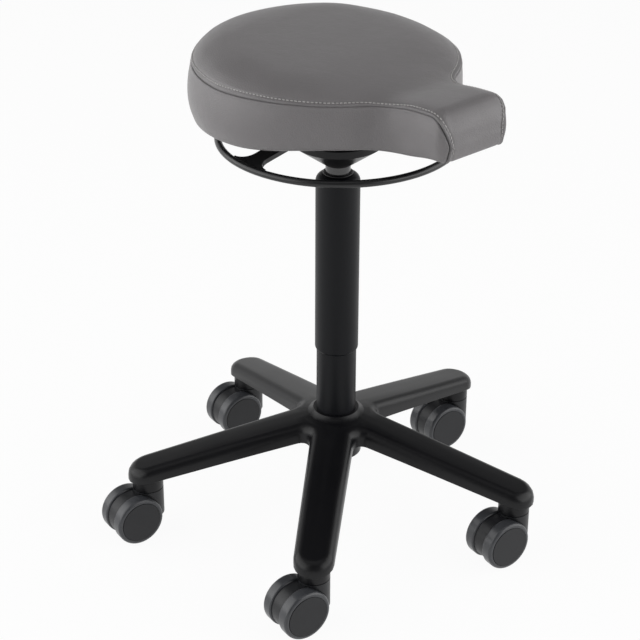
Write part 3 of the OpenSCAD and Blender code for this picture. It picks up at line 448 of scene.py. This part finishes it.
def threadMaterial():
    look = threadLook
    material, t, shader = newMaterial("greyThread", look)
    shader.inputs["Sheen Weight"].default_value = look["sheen"]
    twist = addTexture(t, "ShaderNodeTexWave", objectPlace(t), look["twistScale"],
                       wave_type="BANDS", bands_direction="DIAGONAL")
    t.link(addBump(t, twist.outputs["Fac"], look["twist"], look["twistDepth"]), shader.inputs["Normal"])
    drift = addGroup(t, driftGroup, Color=(*look["colour"], 1), Scale=look["driftScale"],
                     Amount=look["drift"])
    t.link(drift.outputs["Color"], shader.inputs["Base Color"])
    return material


mats["beechPly"] = plywoodMaterial()
mats["dustCover"] = coverClothMaterial()
mats["greyLeather"] = leatherMaterial()
mats["greyThread"] = threadMaterial()
print("all materials made:", len(mats))


def paint(piece, name):
    piece.data.materials.clear()
    piece.data.materials.append(mats[name])


nodeFinish = {
    "star_base": "mouldedBlack", "column_tube": "columnBlack", "guide_bush": "mouldedBlack",
    "foot_washer": "brightSteel", "bearing_lower_race": "brightSteel", "castor_stems": "brightSteel",
    "stem_grip_rings": "brightSteel", "piston_rod": "brightSteel", "piston": "brightSteel",
    "bearing_cage": "turnedBrass", "bearing_balls": "brightSteel", "bearing_upper_race": "brightSteel",
    "bump_stop": "rubberBlack", "rod_clip": "brightSteel", "gas_cylinder": "neckBlack",
    "rod_guide": "mouldedBlack", "seat_socket": "mouldedBlack", "pivot_pin": "brightSteel",
    "seat_plate": "columnBlack", "post_screws": "brightSteel", "board_screws": "brightSteel",
    "under_cover": "dustCover", "seat_board": "beechPly", "seat_cushion": "greyLeather",
    "ring_lever": "leverBlack", "release_pin": "brightSteel",
    "housing": "castorGrey", "axle": "brightSteel", "disc": "castorGrey", "tyre": "tyreGrey",
}
for nodeName, node in nodes.items():
    paint(node, nodeFinish[kindOf(nodeName)])
print("nodes painted")


# Seat pad: a sewn cover over foam. Plan points run u forward from the column and v to the left.

seatPad = {
    # plan: round back, thigh arcs and nose
    "roundRadius": 0.146, "roundBack": 0.020, "noseReach": 0.206, "noseHalf": 0.046,
    "thighRadius": 0.048, "cornerRadius": 0.012, "leastCorner": 0.001,
    # rows of u and a value there: height of the lower edge, share of the band's swell, height at the
    # sewn sides, height of the crown above that, and how far from the seam the crown is reached
    "edgeTable": ((-0.17, 0.5035), (-0.088, 0.5038), (-0.042, 0.5063), (0.005, 0.5089), (0.029, 0.5118),
                  (0.051, 0.515), (0.071, 0.518), (0.088, 0.519), (0.103, 0.5185), (0.118, 0.5172),
                  (0.141, 0.5177), (0.153, 0.5195), (0.164, 0.522), (0.175, 0.5245), (0.186, 0.5262),
                  (0.21, 0.527)),
    "swellTable": ((-0.17, 1.0), (0.0, 0.9), (0.05, 0.5), (0.09, 0.25), (0.13, 0.6), (0.21, 0.8)),
    "sideTable": ((-0.17, 0.5695), (-0.12, 0.5685), (-0.075, 0.567), (-0.028, 0.5665), (0.02, 0.5685),
                  (0.062, 0.5695), (0.097, 0.569), (0.116, 0.568), (0.132, 0.569), (0.145, 0.5708),
                  (0.156, 0.5727), (0.184, 0.5745), (0.21, 0.5745)),
    "crownTable": ((-0.17, 0.026), (-0.10, 0.028), (-0.03, 0.024), (0.04, 0.016), (0.08, 0.010),
                   (0.12, 0.005), (0.15, 0.006), (0.21, 0.006)),
    "reachTable": ((-0.17, 0.055), (0.0, 0.055), (0.08, 0.050), (0.15, 0.020), (0.21, 0.020)),
    "crownPower": 2.2, "seamMargin": 0.0008,
    # front of the nose: length of its roll, share of the height left at the lip, and its swell
    "noseRoll": 0.022, "lipShare": 0.5, "noseSwell": -0.0035,
    # band: height, and how far it is drawn in at shares of that height
    "bandHeight": 0.062, "bandShares": (0, 0.12, 0.34, 0.6, 0.86, 1),
    "bandInsets": (0.003, -0.001, -0.0044, -0.0046, -0.002, 0),
    # fold at the band's foot, and the cover's wrap from there to the pocket of the board
    "foldRadius": 0.007, "foldAngles": (0, 30, 60), "foldShare": 0.08, "leastFold": 0.9,
    "pocketTop": 0.532335, "wrap": 0.0147, "pocketFront": 0.0527, "wrapShares": (0.33, 0.67),
    # mesh: columns along half the outline, rings below and inside the seam, and the top's grid
    "columns": {"back": 110, "thigh": 22, "noseSide": 18, "corner": 24, "front": 12},
    "seamHeights": (0.0006, 0.0012, 0.002, 0.003, 0.004, 0.0052, 0.0066, 0.0082, 0.01, 0.012, 0.0145,
                    0.018, 0.023, 0.029, 0.035, 0.041, 0.047, 0.052),
    "topInsets": (0.0006, 0.0012, 0.002, 0.003, 0.004, 0.005, 0.006, 0.0075, 0.009, 0.011, 0.014),
    "rollAngles": (4, 8, 13, 19, 26, 34, 42, 50, 58, 66, 75),
    "gridStep": 0.005, "gridClear": 0.6, "gridMerge": 1e-7,
    # sewn line: its turn from the seam down the front corner, its lean there, and its steps
    "turnLength": 0.018, "turnDrop": 0.013, "turnPoints": 19, "cornerColumn": 18,
    "seamLean": 0.003, "leanPower": 1.4, "cornerStep": 0.001, "pathStep": 0.0007,
    "nearSeam": 0.012, "sideReach": 20}
tableSoftening = {"from": -0.22, "to": 0.26, "places": 481, "reach": 20, "spread": 2.5}


def softTable(rows, u):
    # a table of values over u, with its kinks rounded
    t = tableSoftening
    fine = np.linspace(t["from"], t["to"], t["places"])
    level = np.interp(fine, [row[0] for row in rows], [row[1] for row in rows])
    window = np.exp(-np.linspace(-t["spread"], t["spread"], 2 * t["reach"] + 1) ** 2 / 2)
    level = np.convolve(np.pad(level, t["reach"], mode="edge"), window / window.sum(), mode="valid")
    return np.interp(u, fine, level)


def inSpace(plan, z):
    # plan points u, v at a height, as x, y, z
    return np.column_stack([plan[:, 1], -plan[:, 0], z])


def inPlan(points):
    return np.column_stack([-points[:, 1], points[:, 0]])


def treeOf(points):
    # a search tree of plan points or of points in space
    tree = kdtree.KDTree(len(points))
    for i, p in enumerate(points):
        tree.insert((*p, 0)[:3], i)
    tree.balance()
    return tree


def thighTangent():
    # the angle at which the round back runs into the thigh arc, and the u where that arc ends
    s = seatPad
    across = s["noseHalf"] + s["thighRadius"]
    centreU = math.sqrt((s["roundRadius"] + s["thighRadius"]) ** 2 - across ** 2)
    return math.atan2(across, centreU), centreU - s["roundBack"]


thighAngle, noseU = thighTangent()


def seatColumns():
    # each column's place on the outline: stretch, share along it, and side
    half = [(stretch, i / count) for stretch, count in seatPad["columns"].items() for i in range(count)]
    left = [(stretch, share, 1) for stretch, share in half]
    right = [(stretch, share, -1) for stretch, share in reversed(half[1:])]
    return left + [("front", 1.0, 1)] + right


def seatRing(table, sideInset, frontInset):
    # plan points of the outline drawn in
    s = seatPad
    corner, least = s["cornerRadius"], s["leastCorner"]
    cornerU = s["noseReach"] - max(frontInset + least, corner)
    cornerV = s["noseHalf"] - max(sideInset + least, corner)
    radiusU = max(corner - frontInset, least)
    radiusV = max(corner - sideInset, least)
    ring = []
    for stretch, share, side in table:
        if stretch == "back":
            a = math.pi + (thighAngle - math.pi) * share
            u = -s["roundBack"] + (s["roundRadius"] - sideInset) * math.cos(a)
            v = (s["roundRadius"] - sideInset) * math.sin(a)
        elif stretch == "thigh":
            a = math.pi + thighAngle + (math.pi / 2 - thighAngle) * share
            u = noseU + (s["thighRadius"] + sideInset) * math.cos(a)
            v = s["noseHalf"] + s["thighRadius"] + (s["thighRadius"] + sideInset) * math.sin(a)
        elif stretch == "noseSide":
            u = noseU + (cornerU - noseU) * share
            v = s["noseHalf"] - sideInset
        elif stretch == "corner":
            a = math.pi / 2 * (1 - share)
            u = cornerU + radiusU * math.cos(a)
            v = cornerV + radiusV * math.sin(a)
        else:
            u = s["noseReach"] - frontInset
            v = cornerV * (1 - share)
        ring.append((u, side * v))
    return np.array(ring)


def seatEdgeZ(u):
    return softTable(seatPad["edgeTable"], u)


def seatRoll(u):
    # share of the height that is left where the nose rolls down at its front
    s = seatPad
    t = np.clip((u - s["noseReach"] + s["noseRoll"]) / s["noseRoll"], 0, 1)
    return s["lipShare"] + (1 - s["lipShare"]) * np.sqrt(1 - t * t)


def seatTopZ(plan, away):
    # height of the top panel over plan points that lie away from the sewn sides
    s = seatPad
    u = plan[:, 0]
    reach = softTable(s["reachTable"], u)
    share = np.sqrt(np.clip(1 - (1 - np.clip(away / reach, 0, 1)) ** s["crownPower"], 0, 1))
    edge = seatEdgeZ(u)
    return edge + seatRoll(u) * (softTable(s["sideTable"], u) - edge + softTable(s["crownTable"], u) * share)


def seatRings(table):
    # all rings from the pocket round the board, under and up the band, to the top panel
    s = seatPad
    outline = seatRing(table, 0, 0)
    sewn = treeOf([p for p, column in zip(outline, table) if column[0] != "front"])
    profile = np.polyfit(s["bandShares"], s["bandInsets"], len(s["bandShares"]) - 1)
    foldInset = float(np.polyval(profile, s["foldShare"]))
    roll = seatRoll(outline[:, 0])
    swell = softTable(s["swellTable"], outline[:, 0])
    foldScale = np.maximum(roll, s["leastFold"])

    def away(plan):
        return np.array([max(sewn.find((*p, 0))[2] - s["seamMargin"], 0) for p in plan])

    def bandPlan(share):
        # the front of the nose has no seam, so it swells and meets the roll without a crease
        inset = float(np.polyval(profile, share))
        drawn = seatRing(table, inset, s["noseSwell"] * math.sin(math.pi * share) ** 2)
        size = roll * swell if inset < 0 else roll
        return outline + (drawn - outline) * size[:, None]

    def foldPlan(angle):
        inset = foldInset + s["foldRadius"] * (1 - math.sin(math.radians(angle)))
        shift = seatRing(table, inset, inset) - seatRing(table, foldInset, foldInset)
        return bandPlan(s["foldShare"]) + shift * foldScale[:, None]

    pocket = seatRing(table, s["wrap"], s["pocketFront"])
    rings = [inSpace(pocket, np.full(len(pocket), s["pocketTop"])), inSpace(pocket, seatEdgeZ(pocket[:, 0]))]
    foot = foldPlan(0)
    for share in s["wrapShares"]:
        between = pocket + (foot - pocket) * share
        rings.append(inSpace(between, seatEdgeZ(between[:, 0])))
    edgeZ = seatEdgeZ(outline[:, 0])
    for angle in s["foldAngles"]:
        lift = s["foldRadius"] * (1 - math.cos(math.radians(angle))) * foldScale
        rings.append(inSpace(foldPlan(angle), edgeZ + lift))
    foldZ = edgeZ + s["foldRadius"] * foldScale
    bandRings = len(rings)
    rings.append(inSpace(bandPlan(s["foldShare"]), foldZ))
    seamZ = seatTopZ(outline, away(outline))
    for below in reversed(s["seamHeights"]):
        share = 1 - below / s["bandHeight"]
        t = (share - s["foldShare"]) / (1 - s["foldShare"])
        rings.append(inSpace(bandPlan(share), foldZ + (seamZ - foldZ) * t))
    seamRing = len(rings)
    rings.append(inSpace(outline, seamZ))
    for inset, angle in zip(s["topInsets"], s["rollAngles"]):
        plan = seatRing(table, inset, s["noseRoll"] * (1 - math.cos(math.radians(angle))))
        rings.append(inSpace(plan, seatTopZ(plan, away(plan))))
    return np.array(rings), bandRings, seamRing, away


def travelledAlong(line):
    return np.concatenate([[0], np.cumsum(np.linalg.norm(np.diff(line, axis=0), axis=1))])


def resampled(line, spacing):
    length = travelledAlong(line)
    count = max(int(length[-1] / spacing), 1)
    places = np.linspace(0, length[-1], count + 1)
    return np.column_stack([np.interp(places, length, line[:, axis]) for axis in range(3)])


def seamPath(rings, bandRings, seamRing):
    # the sewn line: along the seam ring, then down the middle of each front corner of the nose
    s = seatPad
    counts = s["columns"]
    half = sum(counts.values())
    corner = half - counts["front"] - counts["corner"] + s["cornerColumn"]
    outline = rings[seamRing][:half + 1]
    travelled = travelledAlong(outline[:, :2])
    turnStart = travelled[corner] - s["turnLength"]
    columns = rings[bandRings - 2:seamRing + 1, :half + 1]

    def onBand(a, z):
        j = np.interp(a, travelled, np.arange(half + 1))
        low = min(int(j), half - 1)
        ends = []
        for column in (columns[:, low], columns[:, low + 1]):
            ends.append(np.array([np.interp(z, column[:, 2], column[:, axis]) for axis in range(3)]))
        return ends[0] + (ends[1] - ends[0]) * (j - low)

    line = [p for p, a in zip(outline, travelled) if a < turnStart]
    for degrees in np.linspace(0, 90, s["turnPoints"]):
        a = turnStart + s["turnLength"] * math.sin(math.radians(degrees))
        drop = s["turnDrop"] * (1 - math.cos(math.radians(degrees)))
        line.append(onBand(a, np.interp(a, travelled, outline[:, 2]) - drop))
    top, foot = line[-1][2], columns[0, corner, 2]
    for z in np.arange(top - s["cornerStep"], foot, -s["cornerStep"]):
        lean = s["seamLean"] * ((top - z) / (top - foot)) ** s["leanPower"]
        line.append(onBand(travelled[corner] - lean, z))
    line = np.array(line)
    return resampled(np.concatenate([line[:0:-1] * (-1, 1, 1), line]), s["pathStep"])


def sewnField(points, path, sides):
    # signed distance from the sewn line, positive on the top panel
    tree = treeOf(path)
    nearest = [tree.find(p)[1] for p in points]
    tangents = np.gradient(path, axis=0)
    tangents /= np.linalg.norm(tangents, axis=1)[:, None]
    gap = points - path[nearest]
    along = np.sum(gap * tangents[nearest], axis=1)
    across = gap - tangents[nearest] * along[:, None]
    far = np.linalg.norm(gap, axis=1)
    size = np.where(far > seatPad["nearSeam"], far, np.linalg.norm(across, axis=1))
    return size * np.where(np.sum(across * sides[nearest], axis=1) < 0, -1, 1)


def softened(rows, reach):
    # each row becomes the mean of itself and the rows up to reach on both sides
    window = np.ones(2 * reach + 1) / (2 * reach + 1)
    return np.column_stack([np.convolve(np.pad(rows[:, axis], reach, mode="edge"), window, mode="valid")
                            for axis in range(3)])


def sewnSides(path, surface):
    # unit vectors along the cover, from the sewn line towards the top panel
    tangents = np.gradient(path, axis=0)
    normals = np.array([surface.closest_point_on_mesh(Vector(p))[2] for p in path])
    sides = np.cross(tangents, softened(normals, seatPad["sideReach"]))
    return sides / np.linalg.norm(sides, axis=1)[:, None]


def insideRing(p, ring):
    x, y = ring[:, 0], ring[:, 1]
    nextX, nextY = np.roll(x, -1), np.roll(y, -1)
    crossing = (y > p[1]) != (nextY > p[1])
    with np.errstate(divide="ignore", invalid="ignore"):
        at = x + (p[1] - y) / (nextY - y) * (nextX - x)
    return bool(np.sum(crossing & (p[0] < at)) % 2)


def gridInside(ring, step):
    # grid points inside a ring, clear of its edge
    tree = treeOf(ring)
    low, high = ring.min(axis=0), ring.max(axis=0)
    grid = []
    for column in np.arange(math.floor(low[0] / step), math.ceil(high[0] / step) + 1):
        for row in np.arange(math.floor(low[1] / step), math.ceil(high[1] / step) + 1):
            p = (column * step, row * step)
            if tree.find((*p, 0))[2] > seatPad["gridClear"] * step and insideRing(p, ring):
                grid.append(p)
    return np.array(grid)


def filledRing(ring, ringStart, grid=(), gridStart=0):
    # triangles across a ring and its grid points, whose numbers begin at ringStart and gridStart
    count = len(ring)
    corners = [Vector(p) for p in (*ring, *grid)]
    edges = [(i, (i + 1) % count) for i in range(count)]
    out = geometry.delaunay_2d_cdt(corners, edges, [], 1, seatPad["gridMerge"])
    origin = [o[0] for o in out[3]]
    faces = []
    for face in out[2]:
        index = [origin[i] for i in face]
        faces.append([ringStart + i if i < count else gridStart + i - count for i in index])
    return faces


# the cloth is held within pinned of the sewn line; cap is the limit that its swell is eased to
padCloth = {"quality": 6, "mass": 0.4, "stretchStiffness": 30, "bendStiffness": 2, "pressure": 4.0,
            "frames": 20, "pinned": 0.0016, "evening": 14, "cap": 0.003, "leastMove": 1e-9}


def evened(pad, move, held):
    # the swell without its small puckers: each point takes the mean of its neighbours
    ends = np.array([e.vertices[:] for e in pad.data.edges])
    count = np.bincount(ends.ravel(), minlength=len(move))[:, None]
    for turn in range(padCloth["evening"]):
        total = np.zeros_like(move)
        np.add.at(total, ends[:, 0], move[ends[:, 1]])
        np.add.at(total, ends[:, 1], move[ends[:, 0]])
        move = total / np.maximum(count, 1) * (1 - held)[:, None]
    return move


def inflatePad(pad, held):
    # cloth with air pressure swells the panels between the sewn lines
    c = padCloth
    group = pad.vertex_groups.new(name="held")
    for weight in sorted(set(held)):
        group.add([i for i, w in enumerate(held) if w == weight], float(weight), "REPLACE")
    start = np.array([v.co for v in pad.data.vertices])
    cloth = pad.modifiers.new("puff", "CLOTH")
    cloth.settings.quality = c["quality"]
    cloth.settings.mass = c["mass"]
    cloth.settings.tension_stiffness = c["stretchStiffness"]
    cloth.settings.compression_stiffness = c["stretchStiffness"]
    cloth.settings.bending_stiffness = c["bendStiffness"]
    cloth.settings.use_pressure = True
    cloth.settings.uniform_pressure_force = c["pressure"]
    cloth.settings.vertex_group_mass = "held"
    cloth.settings.effector_weights.gravity = 0
    cloth.collision_settings.use_collision = False
    cloth.point_cache.frame_end = c["frames"]
    for frameNumber in range(1, c["frames"] + 1):
        bpy.context.scene.frame_set(frameNumber)
    applyModifiers(pad)
    bpy.context.scene.frame_set(1)
    end = np.array([v.co for v in pad.data.vertices])
    move = evened(pad, end - start, held)
    move *= evened(pad, np.ones_like(move), held)
    size = np.linalg.norm(move, axis=1)
    eased = c["cap"] * size / (c["cap"] + size)
    end = start + move * (eased / np.maximum(size, c["leastMove"]))[:, None]
    pad.data.vertices.foreach_set("co", end.ravel())
    pad.data.update()
    print("pad swelled by up to %.1f mm" % (1000 * eased.max()))


def drawPad(rings, away):
    # one mesh: quads between the rings, the top panel's grid, and the floor of the pocket
    ringCount, count = rings.shape[:2]
    faces = []
    for r in range(ringCount - 1):
        for j in range(count):
            k = (j + 1) % count
            faces.append((r * count + j, r * count + k, (r + 1) * count + k, (r + 1) * count + j))
    points = rings.reshape(-1, 3)
    topPlan = inPlan(rings[-1])
    grid = gridInside(topPlan, seatPad["gridStep"])
    faces += filledRing(topPlan, (ringCount - 1) * count, grid, len(points))
    faces += filledRing(inPlan(rings[0]), 0)
    points = np.concatenate([points, inSpace(grid, seatTopZ(grid, away(grid)))])
    mesh = bpy.data.meshes.new("seatPad")
    mesh.from_pydata([tuple(p) for p in points], [], faces)
    pad = newPiece("seatPad", mesh)
    editAll(pad)
    bpy.ops.mesh.normals_make_consistent(inside=False)
    bpy.ops.object.mode_set(mode="OBJECT")
    print("pad drawn:", len(points), "points")
    return pad, points


def makeSeatPad():
    table = seatColumns()
    rings, bandRings, seamRing, away = seatRings(table)
    pad, points = drawPad(rings, away)
    path = seamPath(rings, bandRings, seamRing)
    sides = sewnSides(path, pad)
    held = (np.abs(sewnField(points, path, sides)) < padCloth["pinned"]).astype(float)
    held[:(bandRings + 1) * len(table)] = 1
    inflatePad(pad, held)
    subdivision = pad.modifiers.new("smooth", "SUBSURF")
    subdivision.levels = 1
    subdivision.render_levels = 1
    applyModifiers(pad)
    return pad, path, sides


# rows of height, place and width in millimetres, places positive on the top panel: groove at the
# seam, lip of the top panel, channel that the thread pulls in, and the band's rise below the seam
seamRelief = ((-1.2, 0, 0.9), (1.0, 1.9, 1.0), (-0.5, 5.8, 1.1), (0.3, -2.2, 1.4))


def sewnRelief(pad, path, sides):
    mesh = pad.data
    count = len(mesh.vertices)
    co = np.zeros(count * 3)
    mesh.vertices.foreach_get("co", co)
    normals = np.zeros(count * 3)
    mesh.vertices.foreach_get("normal", normals)
    field = sewnField(co.reshape(-1, 3), path, sides)
    mesh.attributes.new("seamDistance", "FLOAT", "POINT").data.foreach_set("value", field)
    relief = sum(height * np.exp(-((field * 1000 - place) / width) ** 2)
                 for height, place, width in seamRelief)
    mesh.vertices.foreach_set("co", co + (normals.reshape(-1, 3) * relief[:, None] / 1000).ravel())
    mesh.update()


seatStitch = {"fromSeam": 0.0056, "pitch": 0.0042, "length": 0.0030, "thick": 0.0012, "proud": 0.0003,
              "endGap": 0.012, "evenReach": 14, "segments": 8, "rings": 6, "bluntPower": 0.75}


def singleStitch():
    # one stitch along Z with blunt ends, as its points and faces
    s = seatStitch
    deselectAll()
    bpy.ops.mesh.primitive_uv_sphere_add(segments=s["segments"], ring_count=s["rings"], radius=0.5)
    single = bpy.context.object
    bpy.ops.object.mode_set(mode="EDIT")
    bpy.ops.transform.resize(value=(s["thick"], s["thick"], s["length"]))
    bpy.ops.object.mode_set(mode="OBJECT")
    shape = np.array([v.co for v in single.data.vertices])
    reach = np.abs(shape[:, 2] / s["length"] * 2) ** s["bluntPower"]
    shape[:, 2] = np.sign(shape[:, 2]) * reach * s["length"] / 2
    faces = [tuple(p.vertices) for p in single.data.polygons]
    bpy.data.objects.remove(single)
    return shape, faces


def makeStitches(pad, path, sides):
    # one stitch is modelled, and copied along the line where the top panel is sewn down
    s = seatStitch
    line = np.array([pad.closest_point_on_mesh(Vector(p))[1] for p in path + sides * s["fromSeam"]])
    line = softened(line, s["evenReach"])
    trim = int(s["endGap"] / seatPad["pathStep"])
    centres = resampled(line[trim:-trim], s["pitch"])
    tangents = np.gradient(centres, axis=0)
    shape, faces = singleStitch()
    points, allFaces = [], []
    for centre, tangent in zip(centres, tangents):
        found, normal = pad.closest_point_on_mesh(Vector(centre))[1:3]
        along = Vector(tangent)
        along = (along - normal * along.dot(normal)).normalized()
        across = normal.cross(along)
        base = len(points)
        for p in shape:
            points.append(found + normal * (s["proud"] + p[1]) + across * p[0] + along * p[2])
        allFaces += [tuple(base + i for i in face) for face in faces]
    mesh = bpy.data.meshes.new("seatStitches")
    mesh.from_pydata(points, [], allFaces)
    piece = newPiece("seatStitches", mesh)
    pick(piece)
    bpy.ops.object.shade_smooth()
    print("stitches sewn:", len(centres))
    return piece


pad, padPath, padSides = makeSeatPad()
sewnRelief(pad, padPath, padSides)
pick(pad)
bpy.ops.object.shade_smooth()
paint(pad, "greyLeather")
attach(pad, "seat")
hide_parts("seat_cushion")
stitches = makeStitches(pad, padPath, padSides)
paint(stitches, "greyThread")
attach(stitches, "seat")
print("seat pad and stitches placed")


# Rigid pieces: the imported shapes, with rounded edges and smooth shading

# bevel width, its segments, and the angle in degrees from which an edge is rounded
dressedEdges = {"star_base": (0.0008, 2, 32), "column_tube": (0.0006, 3, 28), "seat_socket": (0.0008, 3, 32),
                "ring_lever": (0.0009, 3, 35), "gas_cylinder": (0.0004, 2, 28), "guide_bush": (0.0003, 2, 28),
                "seat_plate": (0.0005, 2, 32), "housing": (0.0006, 3, 30), "disc": (0.0008, 3, 28),
                "tyre": (0.0004, 2, 28)}
dressedName = {"star_base": "starBase", "column_tube": "columnTube", "seat_socket": "seatSocket",
               "ring_lever": "ringLever", "gas_cylinder": "springCylinder", "guide_bush": "guideBush",
               "seat_plate": "seatPlate"}
edgeLook = {"flatDegrees": 0.5, "smoothMargin": 8}


def pieceName(nodeName):
    # castor_1_disc_left becomes castor1DiscLeft
    if nodeName in dressedName:
        return dressedName[nodeName]
    words = nodeName.split("_")
    return words[0] + words[1] + "".join(word.capitalize() for word in words[2:])


def dressNode(nodeName, edge):
    width, segments, degrees = edge
    piece = mergedCopy(nodeName, pieceName(nodeName))
    editAll(piece)
    bpy.ops.mesh.dissolve_limited(angle_limit=math.radians(edgeLook["flatDegrees"]))
    bpy.ops.object.mode_set(mode="OBJECT")
    bevel = piece.modifiers.new("edges", "BEVEL")
    bevel.width = width
    bevel.segments = segments
    bevel.limit_method = "ANGLE"
    bevel.angle_limit = math.radians(degrees)
    bevel.harden_normals = False
    applyModifiers(piece)
    bpy.ops.object.shade_smooth_by_angle(angle=math.radians(degrees + edgeLook["smoothMargin"]))
    weighted = piece.modifiers.new("normals", "WEIGHTED_NORMAL")
    weighted.keep_sharp = True
    applyModifiers(piece)
    return piece


for nodeName, node in nodes.items():
    kind = kindOf(nodeName)
    if kind not in dressedEdges:
        continue
    piece = dressNode(nodeName, dressedEdges[kind])
    paint(piece, nodeFinish[kind])
    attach(piece, node["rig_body"])
    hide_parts(nodeName)
print("rigid pieces dressed")


# Floor, light and world

# lift is the share of the floor's glow in what the camera and reflections see of it
floorLook = {"size": 14, "colour": (0.9, 0.9, 0.9), "lift": 0.94, "glow": 1.0}


def floorMaterial():
    # near white with a faint shadow for the camera and in reflections, a pale floor for other light
    material = bpy.data.materials.new("paleFloor")
    material.use_nodes = True
    tree = material.node_tree
    tree.nodes.clear()
    t = Nodes(tree)
    out = t.add("ShaderNodeOutputMaterial")
    diffuse = t.add("ShaderNodeBsdfDiffuse")
    diffuse.inputs["Color"].default_value = (*floorLook["colour"], 1)
    glow = t.add("ShaderNodeEmission")
    glow.inputs["Strength"].default_value = floorLook["glow"]
    rays = t.add("ShaderNodeLightPath")
    straight = t.add("ShaderNodeMath", operation="MAXIMUM")
    t.link(rays.outputs["Is Camera Ray"], straight.inputs[0])
    t.link(rays.outputs["Is Transmission Ray"], straight.inputs[1])
    seen = t.add("ShaderNodeMath", operation="MAXIMUM")
    t.link(straight.outputs[0], seen.inputs[0])
    t.link(rays.outputs["Is Glossy Ray"], seen.inputs[1])
    share = t.add("ShaderNodeMath", operation="MULTIPLY")
    share.inputs[1].default_value = floorLook["lift"]
    t.link(seen.outputs[0], share.inputs[0])
    mix = t.add("ShaderNodeMixShader")
    t.link(share.outputs[0], mix.inputs[0])
    t.link(diffuse.outputs[0], mix.inputs[1])
    t.link(glow.outputs[0], mix.inputs[2])
    t.link(mix.outputs[0], out.inputs["Surface"])
    return material


deselectAll()
bpy.ops.mesh.primitive_plane_add(size=floorLook["size"], location=(0, 0, 0))
floor = bpy.context.object
floor.name = "floor"
floor.data.materials.append(floorMaterial())


# level all round, and where and to what share it fades: behind the camera, and overhead
worldLook = {"level": 0.82, "cameraSide": (0.6, 0.9, 0.35), "overhead": (0.3, 0.62, 0.14)}


def addFade(t, source, fade):
    start, end, least = fade
    ramp = t.add("ShaderNodeMapRange", interpolation_type="SMOOTHSTEP")
    ramp.inputs["From Min"].default_value = start
    ramp.inputs["From Max"].default_value = end
    ramp.inputs["To Min"].default_value = 1.0
    ramp.inputs["To Max"].default_value = least
    t.link(source, ramp.inputs["Value"])
    return ramp.outputs["Result"]


def makeWorld():
    # white for the camera; as light and in reflections dimmer behind the camera and overhead
    world = bpy.data.worlds.new("studio")
    bpy.context.scene.world = world
    world.use_nodes = True
    tree = world.node_tree
    tree.nodes.clear()
    t = Nodes(tree)
    out = t.add("ShaderNodeOutputWorld")
    direction = t.add("ShaderNodeTexCoord").outputs["Generated"]
    towards = t.add("ShaderNodeVectorMath", operation="DOT_PRODUCT")
    towards.inputs[1].default_value = (-cameraView["azimuth"][0], -cameraView["azimuth"][1], 0)
    t.link(direction, towards.inputs[0])
    parts = t.add("ShaderNodeSeparateXYZ")
    t.link(direction, parts.inputs[0])
    both = t.add("ShaderNodeMath", operation="MULTIPLY")
    t.link(addFade(t, towards.outputs["Value"], worldLook["cameraSide"]), both.inputs[0])
    t.link(addFade(t, parts.outputs["Z"], worldLook["overhead"]), both.inputs[1])
    level = t.add("ShaderNodeMath", operation="MULTIPLY")
    level.inputs[1].default_value = worldLook["level"]
    t.link(both.outputs[0], level.inputs[0])
    strength = t.add("ShaderNodeMix", data_type="FLOAT")
    strength.inputs["B"].default_value = 1.0
    t.link(t.add("ShaderNodeLightPath").outputs["Is Camera Ray"], strength.inputs["Factor"])
    t.link(level.outputs[0], strength.inputs["A"])
    background = t.add("ShaderNodeBackground")
    background.inputs["Color"].default_value = (1, 1, 1, 1)
    t.link(strength.outputs["Result"], background.inputs["Strength"])
    t.link(background.outputs[0], out.inputs["Surface"])


softboxes = {"topSoftbox": {"place": (-0.3, -0.2, 2.4), "size": (1.8, 1.8), "power": 4.5},
             "leftSoftbox": {"place": (-1.9, 1.2, 1.35), "size": (4.0, 2.6), "power": 56},
             "rightSoftbox": {"place": (1.5, -1.9, 1.35), "size": (4.0, 2.6), "power": 56}}
softboxTarget = (0, 0, 0.4)


def addSoftbox(name, box):
    bpy.ops.object.light_add(type="AREA", location=box["place"])
    lamp = bpy.context.object
    lamp.name = name
    lamp.rotation_mode = "QUATERNION"
    aim = Vector(softboxTarget) - Vector(box["place"])
    lamp.rotation_quaternion = aim.to_track_quat("-Z", "Y")
    lamp.data.shape = "RECTANGLE"
    lamp.data.size, lamp.data.size_y = box["size"]
    lamp.data.energy = box["power"]


makeWorld()
for name, box in softboxes.items():
    addSoftbox(name, box)
print("studio lit")
